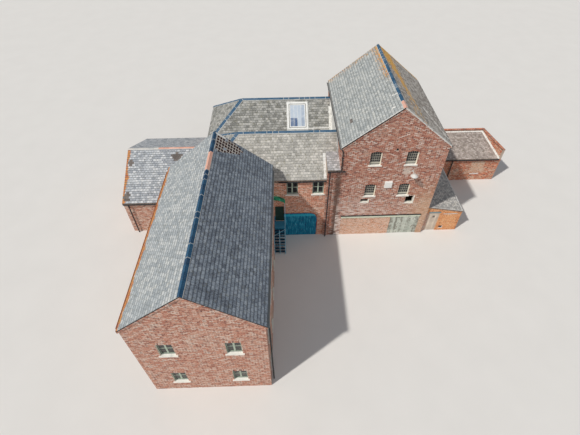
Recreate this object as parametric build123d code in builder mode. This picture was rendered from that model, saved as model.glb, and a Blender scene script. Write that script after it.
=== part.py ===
"""Tannery building: a tall brick block, a twin-roofed link, a long wing and three low additions.

Everything is in millimetres, +X east, +Y north and +Z up. The origin is on the ground, in the
middle of the tall block's gable wall. The long wing stands slightly askew, so its walls, roof and
floor are drawn in a frame of their own.
"""

import os
from math import cos, radians, sin, tan

from build123d import *

# Walls and roofs
wall = 450
link_wall = 340
thin_wall = 230
roof_build_up = 170
roof_pitch = 38.6
eaves_overhang = 90
verge_overhang = 45
fit = 0.3

# Tall block
block_width = 7800
block_depth = 10000
block_eaves = 9500

# Link with its two parallel roofs
link_setback = 110
link_eaves = 6510
link_ridge_length = 7800
front_run = 2980
valley_run = 2510
rear_valley_run = 2550
link_first_floor = 3700

# Raised bay where the link meets the tall block
bay_width = 980
bay_rise = 940
bay_roof_pitch = 12.0
bay_cheek = 100

# Long wing
wing_width = 7540
wing_length = 13100
wing_eaves = 7990
wing_skew = -1.25
wing_offset = 5180

# Annex west of the link
annex_length = 7080
annex_half_depth = 4580
annex_ridge_y = 5680
annex_eaves = 3520
annex_pitch = 25.5

# Outbuilding east of the tall block
outbuilding_length = 9150
outbuilding_taper = 650
outbuilding_depth = 3700
outbuilding_front = 6950
outbuilding_eaves = 2700
outbuilding_pitch = 12.5
parapet_height = 3600
coping_height = 60
coping_overhang = 35

# Lean-to in the corner between the tall block and the outbuilding
leanto_width = 3170
leanto_setback = 250
leanto_top = 2950
leanto_pitch = 10.4
leanto_roof_thick = 110

# Floors
ground_slab = 150
floor_thick = 250

# Windows of the tall block, with flat-arched heads
arched_width = 850
arched_springing = 1130
arched_rise = 110
arched_west_column = 2540
arched_east_column = 5240
arched_storey = 3140
arched_head_below_eaves = 480
first_floor_below_sill = 1090
second_floor_below_sill = 1180
# Windows of the link and the wing
casement_width = 900
casement_height = 1320
link_head_below_eaves = 290
wing_head_below_eaves = 1770
low_casement_sill = 1150
link_window_west = 3650
link_window_east = 1600
link_rear_bays = 4
wing_bays = 5
wing_gable_bays = 4
window_setback = 110
frame_width = 55
frame_depth = 70
glass_thick = 8
sill_height = 95
sill_projection = 75
sill_horn = 95

# Small vents under the tall block's lower windows
west_vent_x = 2220
west_vent_below_sill = 530
west_vent_width = 640
west_vent_height = 380
east_vent_x = 5900
east_vent_below_sill = 490
east_vent_width = 660
east_vent_height = 780

# Former cart opening under the tall block's gable
cart_west = 490
cart_east = 7290
cart_head = 2310
lintel_height = 200
lintel_depth = 300
lintel_projection = 35
infill_thick = 250
infill_setback = 25
boarding_west = 4760
boarding_thick = 60
boarding_setback = 60

# Ledged door of the lean-to
door_west = 440
door_width = 800
door_height = 2080
door_thick = 45
door_clearance = 8
door_setback = 40
door_jamb = 60
door_head = 90
door_spy_hole = 120
door_spy_x = 416
door_spy_z = 1700
hinge_reach = 420
hinge_height = 44
hinge_thick = 8
hinge_pin_radius = 8
hinge_eye_radius = 13
hinge_stand_off = 18
pintle_reach = 45
pintle_height = 24
ledge_shares = (0.12, 0.5, 0.88)
ledge_height = 110
ledge_thick = 25

# Skylight on the rear roof's south slope
skylight_width = 1780
skylight_length = 2420
skylight_from_block = 2960
skylight_up_slope = 1610
skylight_border = 150
skylight_upstand = 70

# Ridge and hip tiles
tile_reach = 150
tile_thick = 35

# Gutters and rainwater pipes
gutter_width = 120
gutter_thick = 12
pipe_radius = 50
bay_pipe_place = 196
tube_sides = 12

# Porch in the corner between the wing and the link
landing_width = 940
landing_depth = 760
landing_height = 1800
landing_thick = 60
stair_going = 1300
tread_count = 8
tread_depth = 200
tread_thick = 35
stringer_thick = 30
stringer_depth = 200
upright_radius = 24
bar_radius = 18
rail_height = 1000
guard_distance = 2140
guard_west_height = 2350
guard_middle_height = 3030
guard_east_height = 3150
guard_low_bar = 1100
guard_high_bar = 2200
canopy_height = 4380
canopy_rise = 380
canopy_crown_out = 564
canopy_crown_rise = 274
canopy_reach = 480
canopy_thick = 15
porch_door_side = 90
porch_door_width = 740
porch_door_height = 1800
porch_door_thick = 50

# Fittings on the gable
cabinet_width = 580
cabinet_height = 620
cabinet_depth = 140
cabinet_edge = 12
cabinet_x = 3880
cabinet_above_sill = 1220
lamp_x = 5560
lamp_below_sill = 630
lamp_plate = 150
lamp_plate_thick = 15
lamp_arm = 560
lamp_arm_radius = 22
lamp_head_top = 55
lamp_head_radius = 130
lamp_head_height = 180

# Places that follow from the sizes above
half_width = block_width / 2
front = -wall / 2
back = front + block_depth
slope = tan(radians(roof_pitch))
slab = roof_build_up / cos(radians(roof_pitch))
block_ridge = block_eaves + half_width * slope
upper_arched_sill = block_eaves - arched_head_below_eaves - arched_rise - arched_springing
lower_arched_sill = upper_arched_sill - arched_storey
arched_sills = (lower_arched_sill, upper_arched_sill)
arched_columns = (arched_west_column, arched_east_column)
block_first_floor = lower_arched_sill - first_floor_below_sill
block_second_floor = upper_arched_sill - second_floor_below_sill
link_front = front + link_setback
front_ridge_y = link_front + front_run
valley_y = front_ridge_y + valley_run
rear_ridge_y = valley_y + rear_valley_run
front_ridge = link_eaves + front_run * slope
valley = front_ridge - valley_run * slope
rear_ridge = valley + rear_valley_run * slope
rear_run = (rear_ridge - link_eaves) / slope
link_back = rear_ridge_y + rear_run
link_east = -half_width
link_west = link_east - link_ridge_length - front_run
link_sills = (low_casement_sill, link_eaves - link_head_below_eaves - casement_height)
wing_east = link_east - wing_offset
wing_half = wing_width / 2
wing_ridge = wing_eaves + wing_half * slope
wing_south = link_front - wing_length
wing_sills = (low_casement_sill, wing_eaves - wing_head_below_eaves - casement_height)
bay_west = link_east - bay_width
bay_eaves = link_eaves + bay_rise
bay_slope = tan(radians(bay_roof_pitch))
bay_slab = roof_build_up / cos(radians(bay_roof_pitch))
bay_top_run = (bay_rise + link_setback * bay_slope) / (slope - bay_slope)
bay_top = link_front + bay_top_run
annex_west = link_west - annex_length
annex_y = front + annex_ridge_y
annex_low = annex_y - annex_half_depth
annex_high = annex_y + annex_half_depth
annex_slope = tan(radians(annex_pitch))
annex_slab = roof_build_up / cos(radians(annex_pitch))
annex_ridge = annex_eaves + annex_half_depth * annex_slope
yard_front = front + outbuilding_front
yard_back = yard_front + outbuilding_depth
yard_east = half_width + outbuilding_length
yard_slope = tan(radians(outbuilding_pitch))
yard_slab = roof_build_up / cos(radians(outbuilding_pitch))
leanto_front = front + leanto_setback
leanto_east = half_width + leanto_width
leanto_slope = tan(radians(leanto_pitch))
leanto_slab = leanto_roof_thick / cos(radians(leanto_pitch))
door_x = half_width + door_west
door_east = door_x + door_width
doorway_west = door_x - door_jamb
doorway_east = door_east + door_jamb
doorway_head = door_height + door_head
door_face_y = leanto_front + door_setback
hinge_x = door_x + door_clearance
hinge_y = door_face_y - hinge_stand_off
ledge_rows = [door_height * share for share in ledge_shares]
hinge_rows = (ledge_rows[0], ledge_rows[2])
lintel_west = -half_width + cart_west
lintel_east = -half_width + cart_east
porch_door_corner = (wing_east + porch_door_side, landing_height)

# Frames
site = Plane.XY
wing = Plane(
    origin=(wing_east, link_front, 0),
    x_dir=(cos(radians(wing_skew)), sin(radians(wing_skew)), 0),
    z_dir=(0, 0, 1),
)


def placed(frame, plane):
    """The plane, moved from its frame to the site."""
    return Plane(frame.location * plane.location)


def south_face(y, frame=site):
    """A plane across the frame at y, looking south: x along the wall and y up."""
    return placed(frame, Plane(origin=(0, y, 0), x_dir=(1, 0, 0), z_dir=(0, -1, 0)))


def east_face(x, frame=site):
    """A plane along the frame at x, looking east: x northwards and y up."""
    return placed(frame, Plane(origin=(x, 0, 0), x_dir=(0, 1, 0), z_dir=(1, 0, 0)))


def north_face(y, frame=site):
    """A plane across the frame at y, looking north: x against the frame's and y up."""
    return placed(frame, Plane(origin=(0, y, 0), x_dir=(-1, 0, 0), z_dir=(0, 1, 0)))


def west_face(x, frame=site):
    """A plane along the frame at x, looking west: x southwards and y up."""
    return placed(frame, Plane(origin=(x, 0, 0), x_dir=(0, -1, 0), z_dir=(-1, 0, 0)))


def mirrored(places):
    """Places along a wall, counted the other way for the face on its far side."""
    return [(-along, height) for along, height in places]


def facing(point, normal, frame=site):
    """The plane through a point with the normal, used to cut a piece off beyond it."""
    return placed(frame, Plane(origin=point, z_dir=normal))


def rising_east(x, z, pitch, frame=site):
    return facing((x, 0, z), (-sin(radians(pitch)), 0, cos(radians(pitch))), frame)


def rising_west(x, z, pitch, frame=site):
    return facing((x, 0, z), (sin(radians(pitch)), 0, cos(radians(pitch))), frame)


def rising_north(y, z, pitch, frame=site):
    return facing((0, y, z), (0, -sin(radians(pitch)), cos(radians(pitch))), frame)


def rising_south(y, z, pitch, frame=site):
    return facing((0, y, z), (0, sin(radians(pitch)), cos(radians(pitch))), frame)


def cut_back(*planes):
    """Cuts the part being built back to the inner side of each plane."""
    for plane in planes:
        split(bisect_by=plane, keep=Keep.BOTTOM)


def save(label, *pieces):
    """Writes the pieces as one named node."""
    solids = [solid for piece in pieces for solid in piece.part.solids()]
    node = Compound(label=label, children=solids) if len(solids) > 1 else solids[0]
    node.label = label
    export_step(node, f"parts/{label}.step")


def box_between(low, high):
    """A block from its low corner to its high corner."""
    with BuildPart() as block:
        with BuildSketch(Plane.XY.offset(low[2])):
            Polygon(low[:2], (high[0], low[1]), high[:2], (low[0], high[1]))
        extrude(amount=high[2] - low[2])
    return block


# Outlines of the openings, centred on x with the sill at y = 0
with BuildSketch() as arched_opening:
    with BuildLine():
        Polyline(
            (-arched_width / 2, arched_springing),
            (-arched_width / 2, 0),
            (arched_width / 2, 0),
            (arched_width / 2, arched_springing),
        )
        ThreePointArc(
            (arched_width / 2, arched_springing),
            (0, arched_springing + arched_rise),
            (-arched_width / 2, arched_springing),
        )
    make_face()

with BuildSketch() as casement_opening:
    Rectangle(casement_width, casement_height, align=(Align.CENTER, Align.MIN))


def with_sill_seat(opening, width):
    """The hole that the wall has: the opening and the seat of its sill."""
    with BuildSketch() as hole:
        add(opening.sketch)
        with Locations((0, -sill_height)):
            Rectangle(width, sill_height, align=(Align.CENTER, Align.MIN))
    return hole


def frame_ring(opening):
    """The outline of a timber frame in its opening."""
    with BuildSketch() as ring:
        add(opening.sketch)
        offset(amount=-fit, mode=Mode.REPLACE)
        offset(amount=-frame_width, mode=Mode.SUBTRACT)
    return ring


def pane(opening):
    """The outline of the glass inside a frame."""
    with BuildSketch() as sheet:
        add(opening.sketch)
        offset(amount=-frame_width - 2 * fit, mode=Mode.REPLACE)
    return sheet


arched_hole = with_sill_seat(arched_opening, arched_width)
casement_hole = with_sill_seat(casement_opening, casement_width)
arched_frame = frame_ring(arched_opening)
casement_frame = frame_ring(casement_opening)
arched_pane = pane(arched_opening)
casement_pane = pane(casement_opening)


def wall_piece(plane, outline, thickness, holes=(), trims=()):
    """A wall drawn on its face, with holes cut through it, cut back to the planes that bound it."""
    with BuildPart() as piece:
        with BuildSketch(plane):
            Polygon(*outline)
            for hole, places in holes:
                with Locations(*places):
                    add(hole.sketch, mode=Mode.SUBTRACT)
        extrude(amount=-thickness)
        cut_back(*trims)
    return piece


def upright(low, high, height, base=0):
    """The outline of a plain wall between two places along it."""
    return (low, base), (high, base), (high, height), (low, height)


def fitted(plane, outline, places, from_face, depth):
    """Like pieces set into the openings of a wall, at a depth from its face."""
    with BuildPart() as pieces:
        with BuildSketch(plane.offset(-from_face)):
            with Locations(*places):
                add(outline.sketch)
        extrude(amount=-depth)
    return pieces


def sills(plane, width, places):
    """Sills that sit in their seats and stand out past the wall with horns at both ends."""
    with BuildPart() as pieces:
        with BuildSketch(plane.offset(sill_projection)):
            with Locations(*places):
                with Locations((0, -sill_height)):
                    Rectangle(
                        width + 2 * sill_horn,
                        sill_height,
                        align=(Align.CENTER, Align.MIN),
                    )
        extrude(amount=-sill_projection)
        with BuildSketch(plane):
            with Locations(*places):
                with Locations((0, -sill_height)):
                    Rectangle(
                        width - 2 * fit,
                        sill_height - fit,
                        align=(Align.CENTER, Align.MIN),
                    )
        extrude(amount=-window_setback)
    return pieces


def gable_roof(frame, low_x, high_x, eaves, pitch, ends):
    """The body under a gabled roof's slates: ridge along the frame's y, cut at both ends."""
    rise = tan(radians(pitch))
    middle = (low_x + high_x) / 2
    ridge = eaves + (high_x - low_x) / 2 * rise
    drop = eaves_overhang * rise
    reach = 2 * max(block_depth, wing_length)
    with BuildPart() as body:
        with BuildSketch(south_face(-reach, frame)):
            Polygon(
                (low_x - eaves_overhang, eaves / 2),
                (high_x + eaves_overhang, eaves / 2),
                (high_x + eaves_overhang, eaves - drop),
                (middle, ridge),
                (low_x - eaves_overhang, eaves - drop),
            )
        extrude(amount=-2 * reach)
        cut_back(*ends)
    return body


def hollowed(body, thickness, cuts=()):
    """The roof itself: the body less the same body dropped by the roof's upright thickness."""
    with BuildPart() as roof:
        add(body.part)
        with Locations((0, 0, -thickness)):
            add(body.part, mode=Mode.SUBTRACT)
        for cut in cuts:
            add(cut.part, mode=Mode.SUBTRACT)
    return roof


def strip(start, end, reach, frame=site):
    """An upright block along a ridge or hip, as wide as its tiles."""
    line = Vector(*end) - Vector(*start)
    along = placed(
        frame,
        Plane(origin=(*start, 0), x_dir=(line.X, line.Y, 0), z_dir=(0, 0, 1)),
    )
    with BuildPart() as block:
        with BuildSketch(along):
            with Locations((line.length / 2, 0)):
                Rectangle(line.length, 2 * reach)
        extrude(amount=2 * block_ridge)
    return block


def capping(body, strips, cuts=()):
    """Ridge and hip tiles that bed on the slates along the strips."""
    with BuildPart() as raised:
        for block in strips:
            add(block.part)
    with BuildPart() as tiles:
        with Locations((0, 0, tile_thick)):
            add(body.part)
        add(body.part, mode=Mode.SUBTRACT)
        add(raised.part, mode=Mode.INTERSECT)
        for cut in cuts:
            add(cut.part, mode=Mode.SUBTRACT)
    return tiles


def gutter(start, end, frame=site):
    """A half-round gutter along an eaves, from start to end, both given at its back edge."""
    line = Vector(*end) - Vector(*start)
    with BuildPart() as trough:
        across = Plane(origin=start, x_dir=Vector(0, 0, 1).cross(line), z_dir=line)
        with BuildSketch(placed(frame, across)):
            with Locations((-gutter_width / 2, 0)):
                RegularPolygon(gutter_width / 2, tube_sides)
                RegularPolygon(gutter_width / 2 - gutter_thick, tube_sides, mode=Mode.SUBTRACT)
                with Locations((0, gutter_width / 2)):
                    Rectangle(2 * gutter_width, gutter_width, mode=Mode.SUBTRACT)
        extrude(amount=line.length)
    return trough


def tube(start, end, radius):
    """A straight bar between two points, round to within a millimetre or two."""
    line = Vector(*end) - Vector(*start)
    with BuildPart() as bar:
        with BuildSketch(Plane(origin=start, z_dir=line)):
            RegularPolygon(radius, tube_sides)
        extrude(amount=line.length)
    return bar


def joined(*pieces):
    """Pieces that are one solid in the real thing."""
    with BuildPart() as whole:
        for piece in pieces:
            add(piece.part)
    return whole


def block_x(distance):
    """A place across the tall block, from its west corner."""
    return distance - half_width


block_windows = [(block_x(x), z) for z in arched_sills for x in arched_columns]
block_side_windows = [(back - x, arched_sills[1]) for x in arched_columns]
link_windows = [(link_east - x, link_sills[1]) for x in (link_window_west, link_window_east)]
link_rear_windows = [
    (link_west + (n + 0.5) * (link_east - link_west) / link_rear_bays, z)
    for z in link_sills
    for n in range(link_rear_bays)
]
wing_side_windows = [
    (-(n + 0.5) * wing_length / wing_bays - wall / 2, z)
    for z in wing_sills
    for n in range(1, wing_bays)
]
wing_gable_east = wing_east + wing_length * sin(radians(wing_skew))
wing_gable_windows = [
    (wing_gable_east - wing_half + n * wing_width / wing_gable_bays, z)
    for z in wing_sills
    for n in (-1, 1)
]
vents = (
    (west_vent_x, lower_arched_sill - west_vent_below_sill, west_vent_width, west_vent_height),
    (east_vent_x, lower_arched_sill - east_vent_below_sill, east_vent_width, east_vent_height),
)

block_under = (
    rising_east(-half_width, block_eaves - slab, roof_pitch),
    rising_west(half_width, block_eaves - slab, roof_pitch),
)
link_under = (
    rising_north(link_front, link_eaves - slab, roof_pitch),
    rising_east(link_west, link_eaves - slab, roof_pitch),
)
wing_under = (
    rising_east(-wing_width, wing_eaves - slab, roof_pitch, wing),
    rising_west(0, wing_eaves - slab, roof_pitch, wing),
)


def build_block():
    """The tall block: four walls, roof and the filled cart opening."""
    with BuildSketch() as vent_holes:
        for x, z, width, height in vents:
            with Locations((block_x(x), z)):
                Rectangle(width, height)
    with BuildSketch() as cart_opening:
        Polygon(*upright(lintel_west, lintel_east, cart_head))
    gable = wall_piece(
        south_face(front),
        upright(-half_width, half_width, block_ridge),
        wall,
        holes=((arched_hole, block_windows), (vent_holes, [(0, 0)]), (cart_opening, [(0, 0)])),
        trims=block_under,
    )
    save("block_gable_wall", gable)
    rear = wall_piece(
        north_face(back),
        upright(-half_width, half_width, block_ridge),
        wall,
        holes=((arched_hole, mirrored(block_windows)),),
        trims=block_under,
    )
    save("block_rear_wall", rear)
    inner = (front + wall, back - wall)
    save(
        "block_west_wall",
        wall_piece(east_face(-half_width + wall), upright(*inner, block_ridge), wall, trims=block_under),
    )
    save(
        "block_east_wall",
        wall_piece(
            east_face(half_width),
            upright(*inner, block_ridge),
            wall,
            holes=((arched_hole, block_side_windows),),
            trims=block_under,
        ),
    )
    ends = (
        facing((0, front - verge_overhang, 0), (0, -1, 0)),
        facing((0, back + verge_overhang, 0), (0, 1, 0)),
    )
    body = gable_roof(site, -half_width, half_width, block_eaves, roof_pitch, ends)
    save("block_roof", hollowed(body, slab))
    ridge = strip((0, front - verge_overhang), (0, back + verge_overhang), tile_reach)
    return capping(body, [ridge])


def build_cart_opening():
    """The lintel over the former cart opening, and what now fills it."""
    beam = box_between(
        (lintel_west, front - lintel_projection, cart_head - lintel_height),
        (lintel_east, front - lintel_projection + lintel_depth, cart_head),
    )
    save("gable_lintel", beam)
    infill_front = front + infill_setback
    head = cart_head - lintel_height
    brick = box_between(
        (lintel_west, infill_front, 0),
        (block_x(boarding_west), infill_front + infill_thick, head),
    )
    save("cart_opening_brick_infill", brick)
    board_front = front + boarding_setback
    boards = box_between(
        (block_x(boarding_west), board_front, 0),
        (lintel_east, board_front + boarding_thick, head),
    )
    save("cart_opening_boarding", boards)


def link_outline(start_y, ridge_y, end_y, start_z, ridge_z, end_z):
    """The outline of one of the link's two roofs, seen from the east."""
    base = link_eaves / 2
    return (start_y, base), (start_y, start_z), (ridge_y, ridge_z), (end_y, end_z), (end_y, base)


def link_roof_body(outline):
    """The body under one of the two roofs, hipped at its west end."""
    length = link_east - link_west + eaves_overhang
    with BuildPart() as body:
        with BuildSketch(east_face(link_east)):
            Polygon(*outline)
        extrude(amount=-length)
        cut_back(rising_east(link_west, link_eaves, roof_pitch))
    return body


def link_bodies():
    """The bodies under the link's front and rear roofs."""
    drop = eaves_overhang * slope
    front_body = link_roof_body(
        link_outline(
            link_front - eaves_overhang, front_ridge_y, valley_y, link_eaves - drop, front_ridge, valley
        )
    )
    rear_body = link_roof_body(
        link_outline(
            valley_y, rear_ridge_y, link_back + eaves_overhang, valley, rear_ridge, link_eaves - drop
        )
    )
    return front_body, rear_body


def build_skylight():
    """The skylight on the rear roof's south slope; gives the hole that the roof has under it."""
    slope_plane = Plane(
        origin=(
            link_east - skylight_from_block,
            valley_y + skylight_up_slope * cos(radians(roof_pitch)),
            valley + skylight_up_slope * sin(radians(roof_pitch)),
        ),
        x_dir=(1, 0, 0),
        z_dir=(0, -sin(radians(roof_pitch)), cos(radians(roof_pitch))),
    )
    inner_width = skylight_width - 2 * skylight_border
    inner_length = skylight_length - 2 * skylight_border
    with BuildPart() as frame:
        with BuildSketch(slope_plane):
            Rectangle(skylight_width, skylight_length)
            Rectangle(inner_width, inner_length, mode=Mode.SUBTRACT)
        extrude(amount=skylight_upstand)
    save("skylight_frame", frame)
    with BuildPart() as glass:
        with BuildSketch(slope_plane.offset(skylight_upstand / 2)):
            Rectangle(inner_width - 2 * fit, inner_length - 2 * fit)
        extrude(amount=glass_thick)
    save("skylight_glass", glass)
    with BuildPart() as shaft:
        with BuildSketch(slope_plane):
            Rectangle(inner_width, inner_length)
        extrude(amount=roof_build_up * 2, both=True)
    return shaft


def build_link_roofs():
    """The link's twin roofs, hipped at the west; gives their ridge and hip tiles."""
    front_body, rear_body = link_bodies()
    bay_notch = box_between((bay_west, front - wall, 0), (link_east, bay_top, block_ridge))
    wing_notch = box_between(
        (link_west - wall, link_front - wall, 0), (wing_east + verge_overhang, link_front, block_ridge)
    )
    save("link_front_roof", hollowed(front_body, slab, (bay_notch, wing_notch)))
    save("link_rear_roof", hollowed(rear_body, slab, (build_skylight(),)))

    hip_length = front_run + eaves_overhang
    front_end = link_west + front_run
    rear_end = link_west + rear_run
    valley_hip = link_west + (valley - link_eaves) / slope
    front_strips = [
        strip((link_east, front_ridge_y), (front_end, front_ridge_y), tile_reach),
        strip((front_end, front_ridge_y), (front_end - hip_length, front_ridge_y - hip_length), tile_reach),
        strip((front_end, front_ridge_y), (valley_hip, valley_y), tile_reach),
    ]
    rear_corner = (link_west - eaves_overhang, link_back + eaves_overhang)
    rear_strips = [
        strip((link_east, rear_ridge_y), (rear_end, rear_ridge_y), tile_reach),
        strip((rear_end, rear_ridge_y), rear_corner, tile_reach),
        strip((rear_end, rear_ridge_y), (valley_hip, valley_y), tile_reach),
    ]
    return capping(front_body, front_strips, cuts=(wing_notch,)), capping(rear_body, rear_strips)


def build_link_walls():
    """The link's walls, with the casements and the porch's upper doorway."""
    with BuildSketch() as porch_doorway:
        Rectangle(porch_door_width, porch_door_height, align=Align.MIN)
    rear_under = rising_south(link_back, link_eaves - slab, roof_pitch)
    front_wall = wall_piece(
        south_face(link_front),
        upright(wing_east - wall, bay_west, front_ridge),
        link_wall,
        holes=((casement_hole, link_windows), (porch_doorway, [porch_door_corner])),
        trims=(*link_under, facing((0, 0, 0), (-1, 0, 0), wing)),
    )
    save("link_front_wall", front_wall)
    rear_wall = wall_piece(
        north_face(link_back),
        upright(-link_east, -link_west, rear_ridge),
        link_wall,
        holes=((casement_hole, mirrored(link_rear_windows)),),
        trims=(rear_under, link_under[1]),
    )
    save("link_rear_wall", rear_wall)
    west_wall = wall_piece(
        east_face(link_west + link_wall),
        upright(link_front, link_back - link_wall, rear_ridge),
        link_wall,
        trims=(*link_under, rear_under),
    )
    save("link_west_wall", west_wall)


def build_bay():
    """The raised bay in the corner of the link and the tall block."""
    bay_under = rising_north(front, bay_eaves - bay_slab, bay_roof_pitch)
    bay_back = link_front + link_wall
    front_wall = wall_piece(
        south_face(front), upright(bay_west, link_east, block_eaves), bay_back - front, trims=(bay_under,)
    )
    cheek = wall_piece(
        east_face(bay_west + bay_cheek),
        upright(bay_back, bay_top, block_eaves, link_eaves - slab),
        bay_cheek,
        trims=(bay_under,),
    )
    save("raised_bay_walls", joined(front_wall, cheek))
    low_y = front - eaves_overhang
    low_z = bay_eaves - eaves_overhang * bay_slope
    top_z = bay_eaves + (bay_top - front) * bay_slope
    with BuildPart() as roof:
        with BuildSketch(east_face(link_east)):
            Polygon((low_y, low_z - bay_slab), (bay_top, top_z - bay_slab), (bay_top, top_z), (low_y, low_z))
        extrude(amount=-bay_width)
    save("raised_bay_roof", roof)


def build_wing():
    """The long wing, askew to the rest, with gables at both ends."""
    north = facing((0, link_front, 0), (0, 1, 0))
    south = facing((0, wing_south, 0), (0, -1, 0))
    east = facing((0, 0, 0), (1, 0, 0), wing)
    west = facing((-wing_width, 0, 0), (-1, 0, 0), wing)
    wide = (wing_gable_east - wing_width - wall, wing_east + wall)
    save(
        "wing_gable_wall",
        wall_piece(
            south_face(wing_south),
            upright(*wide, wing_ridge),
            wall,
            holes=((casement_hole, wing_gable_windows),),
            trims=(*wing_under, east, west),
        ),
    )
    save(
        "wing_north_wall",
        wall_piece(
            south_face(link_front - wall),
            upright(*wide, wing_ridge),
            wall,
            trims=(*wing_under, east, west),
        ),
    )
    ends = (facing((0, link_front - wall, 0), (0, 1, 0)), facing((0, wing_south + wall, 0), (0, -1, 0)))
    east_wall = wall_piece(
        east_face(0, wing),
        upright(-wing_length - wall, wall, wing_ridge),
        wall,
        holes=((casement_hole, wing_side_windows),),
        trims=(*wing_under, *ends),
    )
    save("wing_east_wall", east_wall)
    west_wall = wall_piece(
        west_face(-wing_width, wing),
        upright(-wall, wing_length + wall, wing_ridge),
        wall,
        holes=((casement_hole, mirrored(wing_side_windows)),),
        trims=(*wing_under, *ends),
    )
    save("wing_west_wall", west_wall)
    verge = facing((0, wing_south - verge_overhang, 0), (0, -1, 0))
    body = gable_roof(wing, -wing_width, 0, wing_eaves, roof_pitch, (north, verge))
    save("wing_roof", hollowed(body, slab))
    ridge = strip((-wing_half, wall), (-wing_half, -wing_length - wall), tile_reach, wing)
    return capping(body, [ridge])


def build_annex():
    """The low annex west of the link."""
    under = (
        rising_north(annex_low, annex_eaves - annex_slab, annex_pitch),
        rising_south(annex_high, annex_eaves - annex_slab, annex_pitch),
    )
    sides = [
        wall_piece(south_face(y), upright(annex_west, link_west, annex_ridge), link_wall, trims=under)
        for y in (annex_low, annex_high - link_wall)
    ]
    gable = wall_piece(
        east_face(annex_west + link_wall),
        upright(annex_low + link_wall, annex_high - link_wall, annex_ridge),
        link_wall,
        trims=under,
    )
    save("annex_walls", joined(*sides, gable))
    turned = Plane(origin=(0, annex_y, 0), x_dir=(0, 1, 0), z_dir=(0, 0, 1))
    ends = (
        facing((annex_west - verge_overhang, 0, 0), (-1, 0, 0)),
        facing((link_west, 0, 0), (1, 0, 0)),
    )
    body = gable_roof(turned, -annex_half_depth, annex_half_depth, annex_eaves, annex_pitch, ends)
    save("annex_roof", hollowed(body, annex_slab))
    ridge = strip((annex_west - verge_overhang, annex_y), (link_west, annex_y), tile_reach)
    return capping(body, [ridge])


def inside_parapets(base, height, north, east):
    """The space inside the outbuilding's parapets, up to a place northwards and an eastern plane."""
    with BuildPart() as space:
        with BuildSketch(Plane.XY.offset(base)):
            Polygon(
                (half_width, yard_front),
                (yard_east, yard_front),
                (yard_east, north),
                (half_width, north),
            )
        extrude(amount=height)
        cut_back(east)
    return space


def build_outbuilding():
    """The outbuilding east of the tall block, with parapets on its north and east sides."""
    outer_east = facing((yard_east, yard_front, 0), (outbuilding_depth, outbuilding_taper, 0))
    inner_east = outer_east.offset(-thin_wall)
    inner_north = yard_back - thin_wall
    under = rising_north(yard_front, outbuilding_eaves - yard_slab, outbuilding_pitch)
    south_wall = wall_piece(
        south_face(yard_front),
        upright(half_width, yard_east, parapet_height),
        thin_wall,
        trims=(under, inner_east),
    )
    whole = box_between((half_width, yard_front, 0), (yard_east, yard_back, parapet_height))
    room = inside_parapets(0, parapet_height, inner_north, inner_east)
    with BuildPart() as parapets:
        add(whole.part)
        cut_back(outer_east)
        add(room.part, mode=Mode.SUBTRACT)
    save("outbuilding_walls", joined(south_wall, parapets))

    gap = inside_parapets(
        parapet_height, coping_height, inner_north - coping_overhang, inner_east.offset(-coping_overhang)
    )
    with BuildPart() as coping:
        with BuildSketch(Plane.XY.offset(parapet_height)):
            Polygon(
                (half_width, yard_front),
                (yard_east + thin_wall, yard_front),
                (yard_east + thin_wall, yard_back + coping_overhang),
                (half_width, yard_back + coping_overhang),
            )
        extrude(amount=coping_height)
        cut_back(outer_east.offset(coping_overhang))
        add(gap.part, mode=Mode.SUBTRACT)
    save("outbuilding_coping", coping)

    low_y = yard_front - eaves_overhang
    low_z = outbuilding_eaves - eaves_overhang * yard_slope
    top_z = outbuilding_eaves + (inner_north - yard_front) * yard_slope
    with BuildPart() as roof:
        with BuildSketch(east_face(yard_east)):
            Polygon(
                (low_y, low_z - yard_slab),
                (inner_north, top_z - yard_slab),
                (inner_north, top_z),
                (low_y, low_z),
            )
        extrude(amount=-outbuilding_length)
        cut_back(inner_east)
    save("outbuilding_roof", roof)


def build_leanto():
    """The walls and roof of the lean-to, with its front wall parted by the doorway."""
    under = rising_west(half_width, leanto_top - leanto_slab, leanto_pitch)
    front_walls = (
        ("leanto_west_pier", upright(half_width, doorway_west, leanto_top)),
        ("leanto_front_wall", upright(doorway_east, leanto_east, leanto_top)),
        ("leanto_door_lintel", upright(doorway_west, doorway_east, leanto_top, doorway_head)),
    )
    for label, outline in front_walls:
        save(label, wall_piece(south_face(leanto_front), outline, thin_wall, trims=(under,)))
    east_wall = wall_piece(
        east_face(leanto_east),
        upright(leanto_front + thin_wall, yard_front, leanto_top),
        thin_wall,
        trims=(under,),
    )
    save("leanto_east_wall", east_wall)
    reach = leanto_width + verge_overhang
    low_x = half_width + reach
    low_z = leanto_top - reach * leanto_slope
    with BuildPart() as roof:
        with BuildSketch(south_face(leanto_front - verge_overhang)):
            Polygon(
                (half_width, leanto_top),
                (half_width, leanto_top - leanto_slab),
                (low_x, low_z - leanto_slab),
                (low_x, low_z),
            )
        extrude(amount=-(yard_front - eaves_overhang - leanto_front + verge_overhang))
    save("leanto_roof", roof)


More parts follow.
